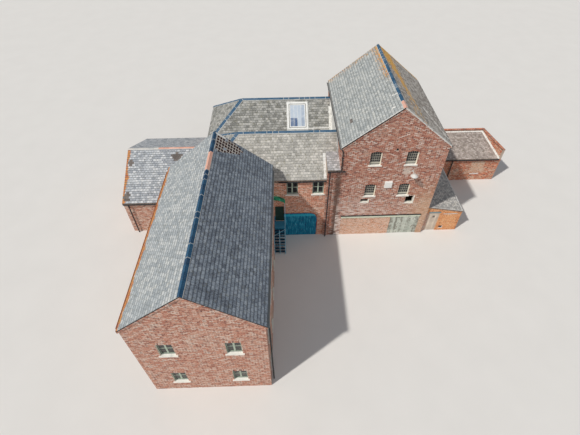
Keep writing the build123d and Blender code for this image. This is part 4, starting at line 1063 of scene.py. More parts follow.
def ridge_tiles(name, start, end, left_normal, right_normal, seed, tone, lichen=0.12, reach=0.17, joints=0.5):
    """A row of angled ridge tiles with a rolled top and mortared joints, lying on both slopes."""
    start, end = Vector(start), Vector(end)
    line = (end - start).normalized()
    arms = []
    for normal in (left_normal, right_normal):
        arm = normal.cross(line).normalized()
        arms.append(-arm if arm.z > 0 else arm)
    left, right = arms
    up = (left_normal + right_normal).normalized()
    across = (right - left).normalized()

    def ring(proud):
        thick, roll = RIDGE_THICK + proud, RIDGE_ROLL + proud * 0.4
        made = [left * reach, left * reach + left_normal * thick, left * ROLL_FOOT + left_normal * thick]
        for k in range(5):
            angle = pi * (k + 0.5) / 5
            made.append(up * (roll * sin(angle) - ROLL_SUNK) - across * roll * cos(angle))
        made.append(right * ROLL_FOOT + right_normal * thick)
        return made + [right * reach + right_normal * thick, right * reach]

    def stretch(first, last, shape, value, crust):
        """A closed length with the shape as its section, between two places on the ridge."""
        size = len(shape)
        points = [end + p for end in (first, last) for p in shape]
        faces = [(i, i + 1, i + 1 + size, i + size) for i in range(size - 1)]
        faces.append((size - 1, 0, size, 2 * size - 1))
        faces += [tuple(reversed(range(size))), tuple(range(size, 2 * size))]
        piece.shape(points, faces, value, lichen=[crust] * len(points))

    piece = Piece(name, clay, "clay_tile")
    chance = np.random.default_rng(seed)
    total = (end - start).length
    count = max(1, round(total / RIDGE_LENGTH))
    step = total / count
    for n in range(count):
        dice = chance.random(4)
        first, joint = start + line * (n * step + 0.002), start + line * ((n + 1) * step - COLLAR)
        value = float(tone((first + joint) / 2, dice[1]))
        stretch(first, joint, ring(0.003 * dice[0]), value, lichen * dice[2])
        mortared = COLLAR_TONE + 0.06 * (dice[3] - 0.5) if dice[3] < joints else value
        stretch(joint, joint + line * (COLLAR - 0.002), ring(COLLAR_PROUD), mortared, 0.28 * dice[2])
        for arm, normal, share in ((left, left_normal, dice[0]), (right, right_normal, dice[2])):
            low, high = arm * (reach - 0.01), arm * (reach + 0.02 + 0.02 * share)
            bed = [low, low + normal * 0.021, high + normal * 0.019, high]
            stretch(start + line * (n * step), start + line * ((n + 1) * step), bed, BED_TONE, 0.2 * dice[3])
    return piece.finish_piece()


def blue(p, d):
    return 0.28 + 0.22 * d


def block_tone(p, d):
    return ORANGE_TONE if p.y < verge_south + 0.95 else 0.15 + 0.4 * d


def wing_tone(p, d):
    return ORANGE_TONE if -4.0 < p.y < -2.2 else 0.26 * d


def annex_tone(p, d):
    return 0.88 + 0.12 * d if p.x > -19.06 else 0.66 + 0.06 * d


to_west, to_east = slope_normal((-1, 0, 0)), slope_normal((1, 0, 0))
to_south, to_north = slope_normal((0, -1, 0)), slope_normal((0, 1, 0))
wing_ends = (wing_surface(-HALF_WING, WING_VERGE), wing_surface(-HALF_WING, LINK_FRONT))
wing_faces = (slope_normal(-wing_x), slope_normal(wing_x))
annex_ends = ((annex_verge, ANNEX_Y, ANNEX_RIDGE), (LINK_WEST, ANNEX_Y, ANNEX_RIDGE))
annex_faces = (slope_normal((0, 1, 0), ANNEX_SLOPE), slope_normal((0, -1, 0), ANNEX_SLOPE))
block_ends = ((0, verge_south, RIDGE), (0, verge_north, RIDGE))
front_peak, rear_peak = (front_end, ridge_y, FRONT_RIDGE), (rear_end, rear_y, REAR_RIDGE)
low_valley = (valley_hip, VALLEY_Y, VALLEY)
hip_corner = (hip_west, north_y, LINK_EAVES - OVER * SLOPE)

# Each row's name, its ends, the ways its slopes face, a seed and its tones, then what isn't as usual

ridges = (
    ("block_ridge_tiles", *block_ends, to_west, to_east, 31, block_tone, 0.34, 0.16, 0.6),
    ("wing_ridge_tiles", *wing_ends, *wing_faces, 32, wing_tone, 0.16, 0.17, 0.3),
    ("link_front_ridge_tiles", front_peak, (LINK_EAST, ridge_y, FRONT_RIDGE), to_north, to_south, 33, blue),
    ("link_rear_ridge_tiles", rear_peak, (LINK_EAST, rear_y, REAR_RIDGE), to_north, to_south, 34, blue),
    ("link_hip_south", (LINK_WEST, LINK_FRONT, LINK_EAVES), front_peak, to_west, to_south, 35, blue),
    ("link_hip_valley_south", low_valley, front_peak, to_north, to_west, 36, blue),
    ("link_hip_valley_north", low_valley, rear_peak, to_west, to_south, 37, blue),
    ("link_hip_north", hip_corner, rear_peak, to_north, to_west, 38, blue),
    ("annex_ridge_tiles", *annex_ends, *annex_faces, 41, annex_tone, 0.0, 0.12, 0.0),
)
for ridge in ridges:
    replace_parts(ridge_tiles(*ridge), "ridge_tiles")

# Flashings, fillets and verges

flashings = Piece("flashings", fillet_finish(), "skylight_paint")
# Dark strips: flashings and the air brick, and also painted shade under the verges, above the cart beam and
# in the lean-to's small vent.
dark_strips = Piece("dark_flashings_and_shade", paints["dark_flashing_and_shade"], "rainwater_iron")
chance = np.random.default_rng(90)
ON_SLATES, ON_BRICKS = 0.019, 0.012
STRIP_STEP, STRIP_WAVE = 0.3, 0.16


def strip(plane, start, end, width, tone, rise=ON_SLATES):
    """A strip along the plane's left of a line between two places, with an uneven free edge."""
    (u0, v0), (u1, v1) = start, end
    length = sqrt((u1 - u0) ** 2 + (v1 - v0) ** 2)
    side_u, side_v = -(v1 - v0) / length, (u1 - u0) / length
    count = max(1, ceil(length / STRIP_STEP))
    outline = [start, end]
    for k in range(count, -1, -1):
        reach = width * (1 + STRIP_WAVE * (chance.random() - 0.5))
        share = k / count
        outline.append((u0 + (u1 - u0) * share + side_u * reach, v0 + (v1 - v0) * share + side_v * reach))
    flashings.prism(plane, outline, 0.002, rise + 0.004 * chance.random(), tone)


cheek, beside = BAY_WEST - 0.02, LINK_EAST - 0.01
white_end = VALLEY_Y + 1.9
sky_around = (sky_west - 0.05, sky_east + 0.05)
wing_top = LINK_FRONT - 0.04

# Each strip's slope, its two places, its width to their left and its tone

strips = (
    (front, (cheek, -0.12), (cheek, 1.45), 0.2, 0.95),
    (front, (beside, BAY_TOP), (beside, ridge_y - 0.2), 0.09, 0.3),
    (rear, (beside, VALLEY_Y), (beside, white_end), 0.25, 0.95),
    (rear, (beside, white_end), (beside, rear_y - 0.2), 0.1, 0.85),
    (rear, (LINK_EAST, VALLEY_Y + 0.16), (valley_hip, VALLEY_Y + 0.16), 0.16, 0.25),
    (rear, (-5.95, VALLEY_Y + 0.33), (beside, VALLEY_Y + 0.36), 0.1, 0.9),
    (rear, (sky_west, sky_low), (sky_west, sky_high), 0.05, 0.6),
    (rear, (sky_east, sky_high), (sky_east, sky_low), 0.06, 0.6),
    (rear, (sky_around[1], sky_low), (sky_around[0], sky_low), 0.22, 0.55),
    (rear, (sky_around[0], sky_high), (sky_around[1], sky_high), 0.05, 0.9),
    (yard, yard_corner, (HALF, yard_top), 0.13, 1.0),
    (yard, yard_low_corner, yard_corner, 0.15, 1.0),
    (yard, (HALF, yard_top), (HALF, yard_south), 0.09, 0.2),
    (lean, (HALF, yard_south), (HALF, lean_south), 0.1, 0.5),
    (lean, (lean_out, lean_south), (lean_out, yard_south), 0.08, 0.8),
    (lean, (HALF, lean_south), (lean_out, lean_south), 0.07, 0.6),
    (annex_south_slope, (LINK_WEST, annex_south), (LINK_WEST, ANNEX_Y), 0.1, 0.3),
    (annex_north_slope, (LINK_WEST, ANNEX_Y), (LINK_WEST, annex_north), 0.1, 0.3),
    (block_east_slope, (2.3, 2.8), (2.6, 2.4), 0.16, 1.0),
    (block_east_slope, (2.5, 2.5), (3.97, 0.4), 0.07, 1.0),
    (block_east_slope, (0.2, verge_south), (out_x, verge_south), 0.1, 0.7),
    (block_west_slope, (-out_x, verge_south), (-0.2, verge_south), 0.08, 0.75),
    (block_west_slope, (-0.46, 1.86), (-0.1, 1.7), 0.07, 1.0),
    (block_west_slope, (-0.7, 0.5), (-0.5, 0.4), 0.14, 1.0),
    (wing_east_slope, (-3.72, wing_top), (-3.1, wing_top), -0.16, 1.0),
)
for slope, first, second, width, tone in strips:
    strip(slope, *slope.outline(first, second), width, tone)

# Bricks

COURSE, BRICK, HEADER, JOINT, PROUD = 0.075, 0.215, 0.1025, 0.01, 0.005
SMALLEST_SIDE, SMALLEST_BRICK = 0.012, 2e-4


def add_bricks(piece, plane, outline, holes, seed, flemish=False, tone=None):
    """Bricks inside a convex outline on a wall's face, u along the wall and v up from the ground."""
    chance = np.random.default_rng(seed)
    unit = BRICK + HEADER + 2 * JOINT if flemish else BRICK + JOINT
    sides = sides_of(outline)
    low_u, low_v, high_u, high_v = bounds_of(outline)
    for row in range(floor(low_v / COURSE), floor(high_v / COURSE) + 1):
        base = row * COURSE + JOINT / 2
        if base > high_v:
            continue
        start = unit / 2 * (row % 2)
        for column in range(floor((low_u - start) / unit) - 1, floor((high_u - start) / unit) + 1):
            left = start + column * unit
            pair = [(left, left + BRICK)]
            if flemish:
                pair.append((left + BRICK + JOINT, left + BRICK + JOINT + HEADER))
            for a, b in pair:
                if b < low_u or a > high_u:
                    continue
                dice = chance.random(2)
                boxes = [(a, base, b, base + COURSE - JOINT)]
                for hole in holes:
                    boxes = [rest for box in boxes for rest in less(box, hole)]
                # Headers are darker than stretchers
                header = b - a < BRICK / 2 + 0.01
                value = float(dice[0]) * 0.6 if header else 0.12 + 0.88 * float(dice[0])
                if tone:
                    value = tone((a + b) / 2, base, value)
                for u0, v0, u1, v1 in boxes:
                    if min(u1 - u0, v1 - v0) < SMALLEST_SIDE:
                        continue
                    shape = clipped(upright(u0, v0, u1, v1), sides)
                    if len(shape) > 2 and abs(signed_area(shape)) / 2 > SMALLEST_BRICK:
                        piece.prism(plane, shape, -0.002, PROUD + 0.002 * float(dice[1]), value)


def lay_bricks(name, finish, plane, outline, holes, seed, flemish=True, slot="brick", tone=None):
    piece = Piece(name, bricks[finish], slot)
    add_bricks(piece, plane, outline, holes, seed, flemish, tone)
    piece.finish_piece()


south, north = facing_south(FRONT), facing_north(BACK)
block_side, block_west = facing_east(HALF), facing_west(-HALF)
link_face, link_north = facing_south(LINK_FRONT), facing_north(LINK_BACK)
wing_gable = facing_south(WING_SOUTH)
east_face = Face(wing_origin, wing_y, UP)
west_face = Face(wing_origin - wing_x * WING_WIDTH, -wing_y, UP)

ARCHED_WIDTH, ARCHED_HEIGHT, ARCHED_SPRING, ARCH_RISE = 0.85, 1.24, 1.13, 0.11
CASEMENT_WIDTH, CASEMENT_HEIGHT = 0.9, 1.32
SILL = 0.095
LOW_ROW, HIGH_ROW = 1.15, 4.9
WEST_WALL_FOOT, LINK_JOIN_TOP, ANNEX_JOIN_IN = 6.3, 6.4, 0.34
block_sills = (4.64, 7.78)
block_windows = [(x, z) for z in block_sills for x in (-1.36, 1.34)]
side_windows = [(BACK - x, block_sills[1]) for x in (2.54, 5.24)]
link_windows = [(LINK_EAST - x, HIGH_ROW) for x in (3.65, 1.6)]
link_bay = (LINK_EAST - LINK_WEST) / 4
wing_shift = WING_EAST + WING_LENGTH * sin(SKEW)
link_rear_windows, wing_side_windows, wing_gable_windows = [], [], []
for z in (LOW_ROW, HIGH_ROW):
    link_rear_windows += [(LINK_WEST + (n + 0.5) * link_bay, z) for n in range(4)]
    wing_side_windows += [(-(n + 0.5) * WING_LENGTH / 5 - WALL / 2, z) for n in range(1, 5)]
    wing_gable_windows += [(wing_shift - HALF_WING + n * WING_WIDTH / 4, z) for n in (-1, 1)]


def window_holes(places, width=CASEMENT_WIDTH, height=CASEMENT_HEIGHT):
    return [(x - width / 2, z - SILL, x + width / 2, z + height) for x, z in places]


def arched_holes(places):
    return window_holes(places, ARCHED_WIDTH, ARCHED_HEIGHT)


def turned(places):
    return [(-x, z) for x, z in places]


def gable_of(low, high, eaves, tangent=SLOPE):
    """A gable's outline between two places along it, up to the underside of its roof."""
    peak = eaves + (high - low) / 2 * tangent - 0.01
    return [(low, 0), (high, 0), (high, eaves), ((low + high) / 2, peak), (low, eaves)]


UNDER = EAVES - SLAB
link_under = LINK_EAVES - SLAB
wing_under = WING_EAVES - SLAB
annex_under = ANNEX_EAVES - ANNEX_SLAB
yard_under = YARD_EAVES - ROOF_THICK / cos(YARD_PITCH)
lean_under = LEAN_TOP - LEAN_THICK / cos(LEAN_PITCH)
bay_slab = ROOF_THICK / cos(BAY_PITCH)
VENTS = ((2.22 - HALF, 4.11, 0.64, 0.38), (5.9 - HALF, 4.15, 0.66, 0.78))
vent_holes = [(x - w / 2, z - h / 2, x + w / 2, z + h / 2) for x, z, w, h in VENTS]
CART_WEST, CART_SPLIT, CART_EAST, CART_TOP, BEAM = 0.49 - HALF, 0.86, 7.29 - HALF, 2.31, 0.2
AIR_BRICK = (0.0, 9.08, 0.18, 9.28)
gable_outline = [(-HALF, 0), (HALF, 0), (HALF, UNDER), (0, UNDER + HALF * SLOPE), (-HALF, UNDER)]
holes = arched_holes(block_windows) + vent_holes + [(CART_WEST, 0.0, CART_EAST, CART_TOP), AIR_BRICK]
lay_bricks("block_gable_bricks", "gable", south, gable_outline, holes, 51)
lay_bricks("block_rear_bricks", "stock", north, gable_outline, arched_holes(turned(block_windows)), 52)
outline = upright(FRONT, 0, BACK, UNDER)
lay_bricks("block_east_bricks", "stock", block_side, outline, arched_holes(side_windows), 53)
lay_bricks("block_west_bricks", "stock", block_west, upright(-BACK, WEST_WALL_FOOT, -FRONT, UNDER), [], 54)
PORCH_DOOR = (WING_EAST + 0.09, 1.8, WING_EAST + 0.83, 3.6)
outline, holes = upright(WING_EAST, 0, BAY_WEST, link_under), window_holes(link_windows) + [PORCH_DOOR]
lay_bricks("link_front_bricks", "link", link_face, outline, holes, 55)
lay_bricks("bay_bricks", "gable", south, upright(BAY_WEST, 0, LINK_EAST, BAY_EAVES - bay_slab), [], 56)
outline, holes = upright(-LINK_EAST, 0, -LINK_WEST, link_under), window_holes(turned(link_rear_windows))
lay_bricks("link_rear_bricks", "pink", link_north, outline, holes, 57, False)
join_north, join_south = ANNEX_Y + ANNEX_HALF - ANNEX_JOIN_IN, ANNEX_Y - ANNEX_HALF + ANNEX_JOIN_IN
annex_join = (-join_north, 0, -join_south, annex_under)
outline = upright(-LINK_BACK, 0, -LINK_FRONT, link_under)
lay_bricks("link_west_bricks", "pink", facing_west(LINK_WEST), outline, [annex_join], 58, False)

skewed_width = WING_WIDTH / cos(SKEW)
outline = gable_of(wing_shift - skewed_width, wing_shift, wing_under)
lay_bricks("wing_gable_bricks", "pink", wing_gable, outline, window_holes(wing_gable_windows), 59)
outline = gable_of(-WING_EAST, -(WING_EAST - skewed_width), wing_under)
link_join = (-WING_EAST - 0.1, 0, -LINK_WEST, LINK_JOIN_TOP)
lay_bricks("wing_north_bricks", "pink", facing_north(LINK_FRONT), outline, [link_join], 60, False)
south_end = -WING_LENGTH / cos(SKEW)
west_shift = -WING_WIDTH * tan(SKEW)
outline, holes = upright(south_end, 0, 0, wing_under), window_holes(wing_side_windows)
lay_bricks("wing_east_bricks", "pink", east_face, outline, holes, 61, False)
outline = upright(west_shift, 0, west_shift - south_end, wing_under)
lay_bricks("wing_west_bricks", "pink", west_face, outline, window_holes(turned(wing_side_windows)), 62, False)

low_y, high_y = ANNEX_Y - ANNEX_HALF, ANNEX_Y + ANNEX_HALF
outline = upright(ANNEX_WEST, 0, LINK_WEST, annex_under)
lay_bricks("annex_south_bricks", "pink", facing_south(low_y), outline, [], 63, False)
outline = upright(-LINK_WEST, 0, -ANNEX_WEST, annex_under)
lay_bricks("annex_north_bricks", "pink", facing_north(high_y), outline, [], 64, False)
outline = gable_of(-high_y, -low_y, annex_under, ANNEX_SLOPE)
lay_bricks("annex_gable_bricks", "pink", facing_west(ANNEX_WEST), outline, [], 65, False)

# Flashings turned up the tall block's west wall, from place to place along the link's slopes

white_top = VALLEY + 1.9 * SLOPE
bay_top_z = bay_surface(0, BAY_TOP)[2]
for first, second, height, tone in (
    ((rear_y, REAR_RIDGE), (white_end, white_top), 0.12, 0.7),
    ((white_end, white_top), (VALLEY_Y, VALLEY), 0.34, 1.0),
    ((VALLEY_Y, VALLEY), (ridge_y, FRONT_RIDGE), 0.15, 0.6),
    ((ridge_y, FRONT_RIDGE), (BAY_TOP, bay_top_z), 0.14, 0.6),
):
    low, high = turned((first, second))
    outline = [low, high, (high[0], high[1] + height), (low[0], low[1] + height)]
    flashings.prism(block_west, outline, 0.002, 0.016, tone)
WHITED = ((-7.2, 8.35), (-VALLEY_Y, VALLEY), (-3.0, 8.8), (-3.0, 9.3), (-7.2, 9.3))
flashings.prism(block_west, WHITED, 0.002, 0.011, 0.95)

# The outbuilding, with a window bricked up in its front and bricks on its parapets' inner faces

BLIND = (10.35, 0.84, 11.6, 2.32)
TOP_COURSE = 2.26


def blind_tone(u, v, value):
    """The top course is red, and the bricked-up window is paler than the wall round it."""
    if v > TOP_COURSE:
        return 0.2 + 0.2 * value
    inside = BLIND[0] < u < BLIND[2] and BLIND[1] < v < BLIND[3]
    return 0.6 + 0.4 * value if inside else value


yard_face = facing_south(YARD_FRONT)
yard_outer = Face((YARD_EAST, YARD_FRONT, 0), (-TAPER, YARD_DEPTH, 0), UP)
outline = upright(HALF, 0, YARD_EAST, yard_under)
lay_bricks("outbuilding_south_bricks", "yard", yard_face, outline, [], 66, tone=blind_tone)
outline = upright(0, 0, taper_length, PARAPET)
lay_bricks("outbuilding_east_bricks", "yard", yard_outer, outline, [], 67, False)
outline = upright(TAPER - YARD_EAST, 0, -HALF, PARAPET)
lay_bricks("outbuilding_north_bricks", "yard", facing_north(YARD_BACK), outline, [], 68, False)
inner_corner = Vector((yard_edge_x(YARD_FRONT), YARD_FRONT, 0))
inner_north = facing_south(yard_top)
inner_east = Face((*yard_corner, 0), inner_corner - Vector((*yard_corner, 0)), UP)
roof_end = yard_surface(0, yard_top)[2]
inner_length = taper_length * (yard_top - YARD_FRONT) / YARD_DEPTH
inner_bricks = Piece("parapet_inner_bricks", bricks["yard"], "brick")
add_bricks(inner_bricks, inner_north, upright(HALF, roof_end, yard_corner[0], PARAPET), [], 72)
outline = [(0, roof_end), (inner_length, YARD_EAVES), (inner_length, PARAPET), (0, PARAPET)]
add_bricks(inner_bricks, inner_east, outline, [], 73)
inner_bricks.finish_piece()
strip(inner_north, (HALF, roof_end + 0.01), (yard_corner[0], roof_end + 0.01), 0.06, 1.0, ON_BRICKS)
strip(inner_east, (0, roof_end + 0.01), (inner_length, YARD_EAVES + 0.01), 0.1, 1.0, ON_BRICKS)

COPING_OVER = 0.03
coping_depth = THIN + COPING_OVER
coping_x, coping_y = YARD_EAST + COPING_OVER - 0.002, YARD_BACK + COPING_OVER
coping = Piece("coping_bricks", bricks["yard"], "brick")
for start, end in (
    ((coping_x, YARD_FRONT + 0.01, COPING), (coping_x - TAPER, YARD_BACK - 0.25, COPING)),
    ((YARD_EAST - TAPER, coping_y, COPING), (HALF + 0.01, coping_y, COPING)),
):
    run = Vector(end) - Vector(start)
    face = Face(start, run, UP.cross(run))
    count = round(run.length / COURSE)
    step = run.length / count
    for k in range(count):
        rise = 0.006 + 0.004 * chance.random()
        side = (k * step + 0.004, (k + 1) * step - 0.004)
        coping.block(face, side, (0.006, coping_depth - 0.006), (-0.002, rise), 0.05 + 0.6 * chance.random())
coping.finish_piece()

# The lean-to, its front patched in a former opening, and the bricked part of the cart opening

low_under = lean_under - (LEAN_EAST - HALF) * LEAN_SLOPE
DOOR_HOLE = (HALF + 0.38, 0, HALF + 1.3, 2.17)
PANEL = (5.52, 0.1, 6.82, 1.94)
PANEL_VENT = (5.5, 0.34, 5.78, 0.56)
PIER = (HALF, 0, DOOR_HOLE[0], DOOR_HOLE[3])


def panel_tone(u, v, value):
    """The filled opening is paler and browner than the bright orange brick round it."""
    inside = PANEL[0] < u < PANEL[2] and PANEL[1] < v < PANEL[3]
    return 0.2 + 0.5 * value if inside else 0.6 * value


def pale_tone(u, v, value):
    return 0.4 + 0.6 * value


lean_front = facing_south(LEAN_FRONT)
# The pier's bricks are drawn pale as painted light, against the shade that falls on them beside the block.
lay_bricks("leanto_pier_bricks", "pink", lean_front, upright(*PIER), [], 78, True, "old_brick", pale_tone)
outline = [(HALF, 0), (LEAN_EAST, 0), (LEAN_EAST, low_under), (HALF, lean_under)]
holes = [DOOR_HOLE, PANEL_VENT, PIER]
lay_bricks("leanto_front_bricks", "orange", lean_front, outline, holes, 69, True, "old_brick", panel_tone)
outline = upright(LEAN_FRONT, 0, YARD_FRONT, low_under)
lay_bricks("leanto_east_bricks", "orange", facing_east(LEAN_EAST), outline, [], 70, False, "old_brick")
infill, outline = facing_south(FRONT + 0.025), upright(CART_WEST, 0, CART_SPLIT, CART_TOP - BEAM)
lay_bricks("cart_infill_bricks", "infill", infill, outline, [], 71, False, "old_brick", pale_tone)

# Bricks on the roofs' gable ends, and the strips under the slates

verge_bricks = Piece("verge_bricks", bricks["stock"], "brick")
wing_edge = [in_wing(x, WING_VERGE, 0).x for x in (wing_eaves_x, -HALF_WING, OVER)]
block_edge = (-out_x, 0, out_x, EAVES - OVER * SLOPE, RIDGE, SLAB)
wing_edge += [WING_EAVES - OVER * SLOPE, WING_RIDGE, SLAB]
annex_edge = (-annex_north, -ANNEX_Y, -annex_south, ANNEX_EAVES - OVER * ANNEX_SLOPE, ANNEX_RIDGE, ANNEX_SLAB)
# Under each verge a strip: a dark strip is painted shade under the overhang, and a pale flashing marks a side
# drawn as lit, as on the east half of the block's south gable.
for face, (low, peak, high, eaves, ridge, depth), seed, tones, lip in (
    (facing_south(verge_south), block_edge, 74, (0.0, 0.8), 0.1),
    (facing_north(verge_north), block_edge, 75, (0.0, 0.0), 0.07),
    (facing_south(WING_VERGE), wing_edge, 76, (0.0, 0.0), 0.07),
    (facing_west(annex_verge + 0.009), annex_edge, 77, (0.0, 0.5), 0.07),
):
    for end, tone in zip((low, high), tones):
        outline = [(end, eaves - depth), (peak, ridge - depth), (peak, ridge - 0.06), (end, eaves - 0.06)]
        add_bricks(verge_bricks, face, outline, [], seed)
        outline = [(end, eaves - lip), (peak, ridge - lip), (peak, ridge - 0.004), (end, eaves - 0.004)]
        (flashings if tone else dark_strips).prism(face, outline, 0.0, 0.008, tone)
verge_bricks.finish_piece()

# Brick arches over the windows: segmental ones on the tall block, flat ones elsewhere

ARCH_BRICKS, ARCH_JOINT = 13, 0.004
arched_walls = ((south, block_windows), (north, turned(block_windows)), (block_side, side_windows))
casement_walls = (
    (link_face, link_windows),
    (link_north, turned(link_rear_windows)),
    (wing_gable, wing_gable_windows),
    (east_face, wing_side_windows),
    (west_face, turned(wing_side_windows)),
)
chance = np.random.default_rng(80)
half = ARCHED_WIDTH / 2
radius = (half * half + ARCH_RISE * ARCH_RISE) / (2 * ARCH_RISE)
spread = atan2(half + 0.01, radius - ARCH_RISE)
arches = Piece("block_window_arches", bricks["stock"], "old_brick")
for face, places in arched_walls:
    for x, z in places:
        centre = z + ARCHED_SPRING + ARCH_RISE - radius
        for k in range(ARCH_BRICKS):
            a0 = -spread + 2 * spread * k / ARCH_BRICKS + ARCH_JOINT
            a1 = -spread + 2 * spread * (k + 1) / ARCH_BRICKS - ARCH_JOINT
            corners = ((radius, a0), (radius + HEADER, a0), (radius + HEADER, a1), (radius, a1))
            outline = [(x + r * sin(a), centre + r * cos(a)) for r, a in reversed(corners)]
            arches.prism(face, outline, -0.002, 0.011 + 0.002 * chance.random(), 0.2 + 0.4 * chance.random())
arches.finish_piece()
lintels = Piece("window_flat_arches", bricks["pink"], "brick")
wide = CASEMENT_WIDTH + 0.16
count = round(wide / COURSE)
for face, places in casement_walls:
    for x, z in places:
        foot = z + CASEMENT_HEIGHT
        if foot + BRICK > link_under - 0.02 and face in (link_face, link_north):
            continue
        for k in range(count):
            left = x - wide / 2 + k * wide / count
            box = (left + ARCH_JOINT, foot, left + wide / count - ARCH_JOINT, foot + BRICK)
            lintels.box(face, box, (-0.002, 0.01 + 0.002 * chance.random()), chance.random())
lintels.finish_piece()

# The downpipe at the tall block's west corner, and the end of the gutter that it empties into

PIPE, PIPE_COLLAR = 0.036, 0.045
OUTER, INNER = 0.06, 0.048


def tube(piece, start, end, radius, sides=12):
    """A closed pipe between two places."""
    start, end = Vector(start), Vector(end)
    line = (end - start).normalized()
    one = line.cross(Vector((0, 1, 0))).normalized()
    two = line.cross(one)
    turns = [2 * pi * k / sides for k in range(sides)]
    ring = [one * radius * cos(turn) + two * radius * sin(turn) for turn in turns]
    faces = [(k, (k + 1) % sides, (k + 1) % sides + sides, k + sides) for k in range(sides)]
    faces += [tuple(reversed(range(sides))), tuple(range(sides, 2 * sides))]
    piece.shape([start + p for p in ring] + [end + p for p in ring], faces)


corner_pipe = Piece("corner_downpipe", paints["black_iron"], "rainwater_iron")
pipe_y = FRONT - 0.055
bends = [(-3.98, pipe_y, EAVES - 0.17), (-3.85, pipe_y, EAVES - 0.42), (-3.83, pipe_y, BAY_EAVES + 0.2)]
bends.append((-3.83, FRONT - OVER - 0.04, BAY_EAVES - 0.07))
for first, second in zip(bends, bends[1:]):
    tube(corner_pipe, first, second, PIPE)
for z in (EAVES - 0.45, (EAVES + BAY_EAVES) / 2, BAY_EAVES + 0.22):
    tube(corner_pipe, (-3.84, pipe_y, z), (-3.84, pipe_y, z + 0.06), PIPE_COLLAR)
    corner_pipe.box(south, (-3.91, z + 0.01, -3.77, z + 0.05), (-0.002, 0.03))
corner_pipe.finish_piece()
gutter_end = Piece("corner_gutter", paints["black_iron"], "rainwater_iron")
gutter_z = BAY_EAVES - OVER * BAY_SLOPE - bay_slab / 2
profile = [(OUTER, k) for k in range(9)] + [(INNER, k) for k in range(8, -1, -1)]
points = []
for x in (LINK_EAST + 0.001, LINK_EAST + 0.4):
    for radius, k in profile:
        across, down = radius * cos(pi * k / 8), radius * sin(pi * k / 8)
        points.append(Vector((x, FRONT - OVER - OUTER + across, gutter_z - down)))
size = len(profile)
quads = [(k, (k + 1) % size, (k + 1) % size + size, k + size) for k in range(size)]
quads += [(first + k, first + k + 1, first + 16 - k, first + 17 - k) for k in range(8) for first in (0, size)]
gutter_end.shape(points, quads)
gutter_end.finish_piece()

# Window bars and painted reveals

SETBACK, FRAME_WIDTH = 0.11, 0.055
LINING, HALF_POST, HALF_BAR, HALF_CROSSBAR, HALF_TRANSOM = 0.006, 0.034, 0.007, 0.008, 0.018
bars = Piece("block_window_bars", paints["grey_bar_paint"], "window_timber")
reveals = Piece("window_reveals", paints["cream_paint"], "window_timber")
half = ARCHED_WIDTH / 2 - FRAME_WIDTH + 0.002
near_n, far_n = -SETBACK - 0.012, -SETBACK - 0.032
for face, places in arched_walls:
    for x, z in places:
        low, high = z + FRAME_WIDTH - 0.002, z + ARCHED_SPRING + 0.03
        rail, first = low + 0.17, x - half + 0.05
        bars.box(face, (x - half, low, x + half, rail), (far_n, near_n))
        for k in range(1, 5):
            u = x - half + 2 * half * k / 5
            top = high - 0.06 + 0.02 * (k in (2, 3))
            bars.box(face, (u - HALF_BAR, rail, u + HALF_BAR, top), (far_n, near_n))
        for k in range(1, 4):
            v = rail + (high - 0.04 - rail) * k / 4
            box = (first, v - HALF_CROSSBAR, x + half, v + HALF_CROSSBAR)
            bars.box(face, box, (far_n - 0.002, near_n - 0.002))
        for side in (-1, 1):
            u = sorted((x + side * ARCHED_WIDTH / 2, x + side * (ARCHED_WIDTH / 2 - LINING)))
            reveals.block(face, u, (z, z + ARCHED_SPRING - 0.02), (-SETBACK, -0.001))
        # A cream stile on the right side only: a painted highlight of the lit side of the frames, whose other
        # sides are painted dark as shade.
        lit_stile = (x + ARCHED_WIDTH / 2 - 0.06, x + ARCHED_WIDTH / 2 - LINING)
        reveals.block(face, lit_stile, (z + 0.02, z + ARCHED_SPRING - 0.04), (-SETBACK + 0.001, -SETBACK + 0.02))
bars.finish_piece()
casements = Piece("casement_bars", paints["grey_green_paint"], "window_timber")
half = CASEMENT_WIDTH / 2 - FRAME_WIDTH + 0.002
near_n = -SETBACK - 0.006
for face, places in casement_walls:
    for x, z in places:
        low, high = z + FRAME_WIDTH - 0.002, z + CASEMENT_HEIGHT - FRAME_WIDTH + 0.002
        middle = (low + high) / 2
        casements.block(face, (x - HALF_POST, x + HALF_POST), (low, high), (far_n, near_n))
        for side in (-1, 1):
            a, b = sorted((x + side * HALF_POST, x + side * half))
            for u in ((a, a + 0.02), (b - 0.02, b)):
                casements.block(face, u, (low, high), (far_n, near_n - 0.006))
            transom = (middle - HALF_TRANSOM, middle + HALF_TRANSOM)
            for v in ((low, low + 0.03), (high - 0.025, high), transom):
                casements.block(face, (a + 0.02, b - 0.02), v, (far_n, near_n - 0.008))
            u = sorted((x + side * CASEMENT_WIDTH / 2, x + side * (CASEMENT_WIDTH / 2 - LINING)))
            reveals.block(face, u, (z, z + CASEMENT_HEIGHT - 0.004), (-SETBACK, -0.001))
casements.finish_piece()
reveals.finish_piece()

# The vents' rendered reveals, the air brick and small plates on the walls

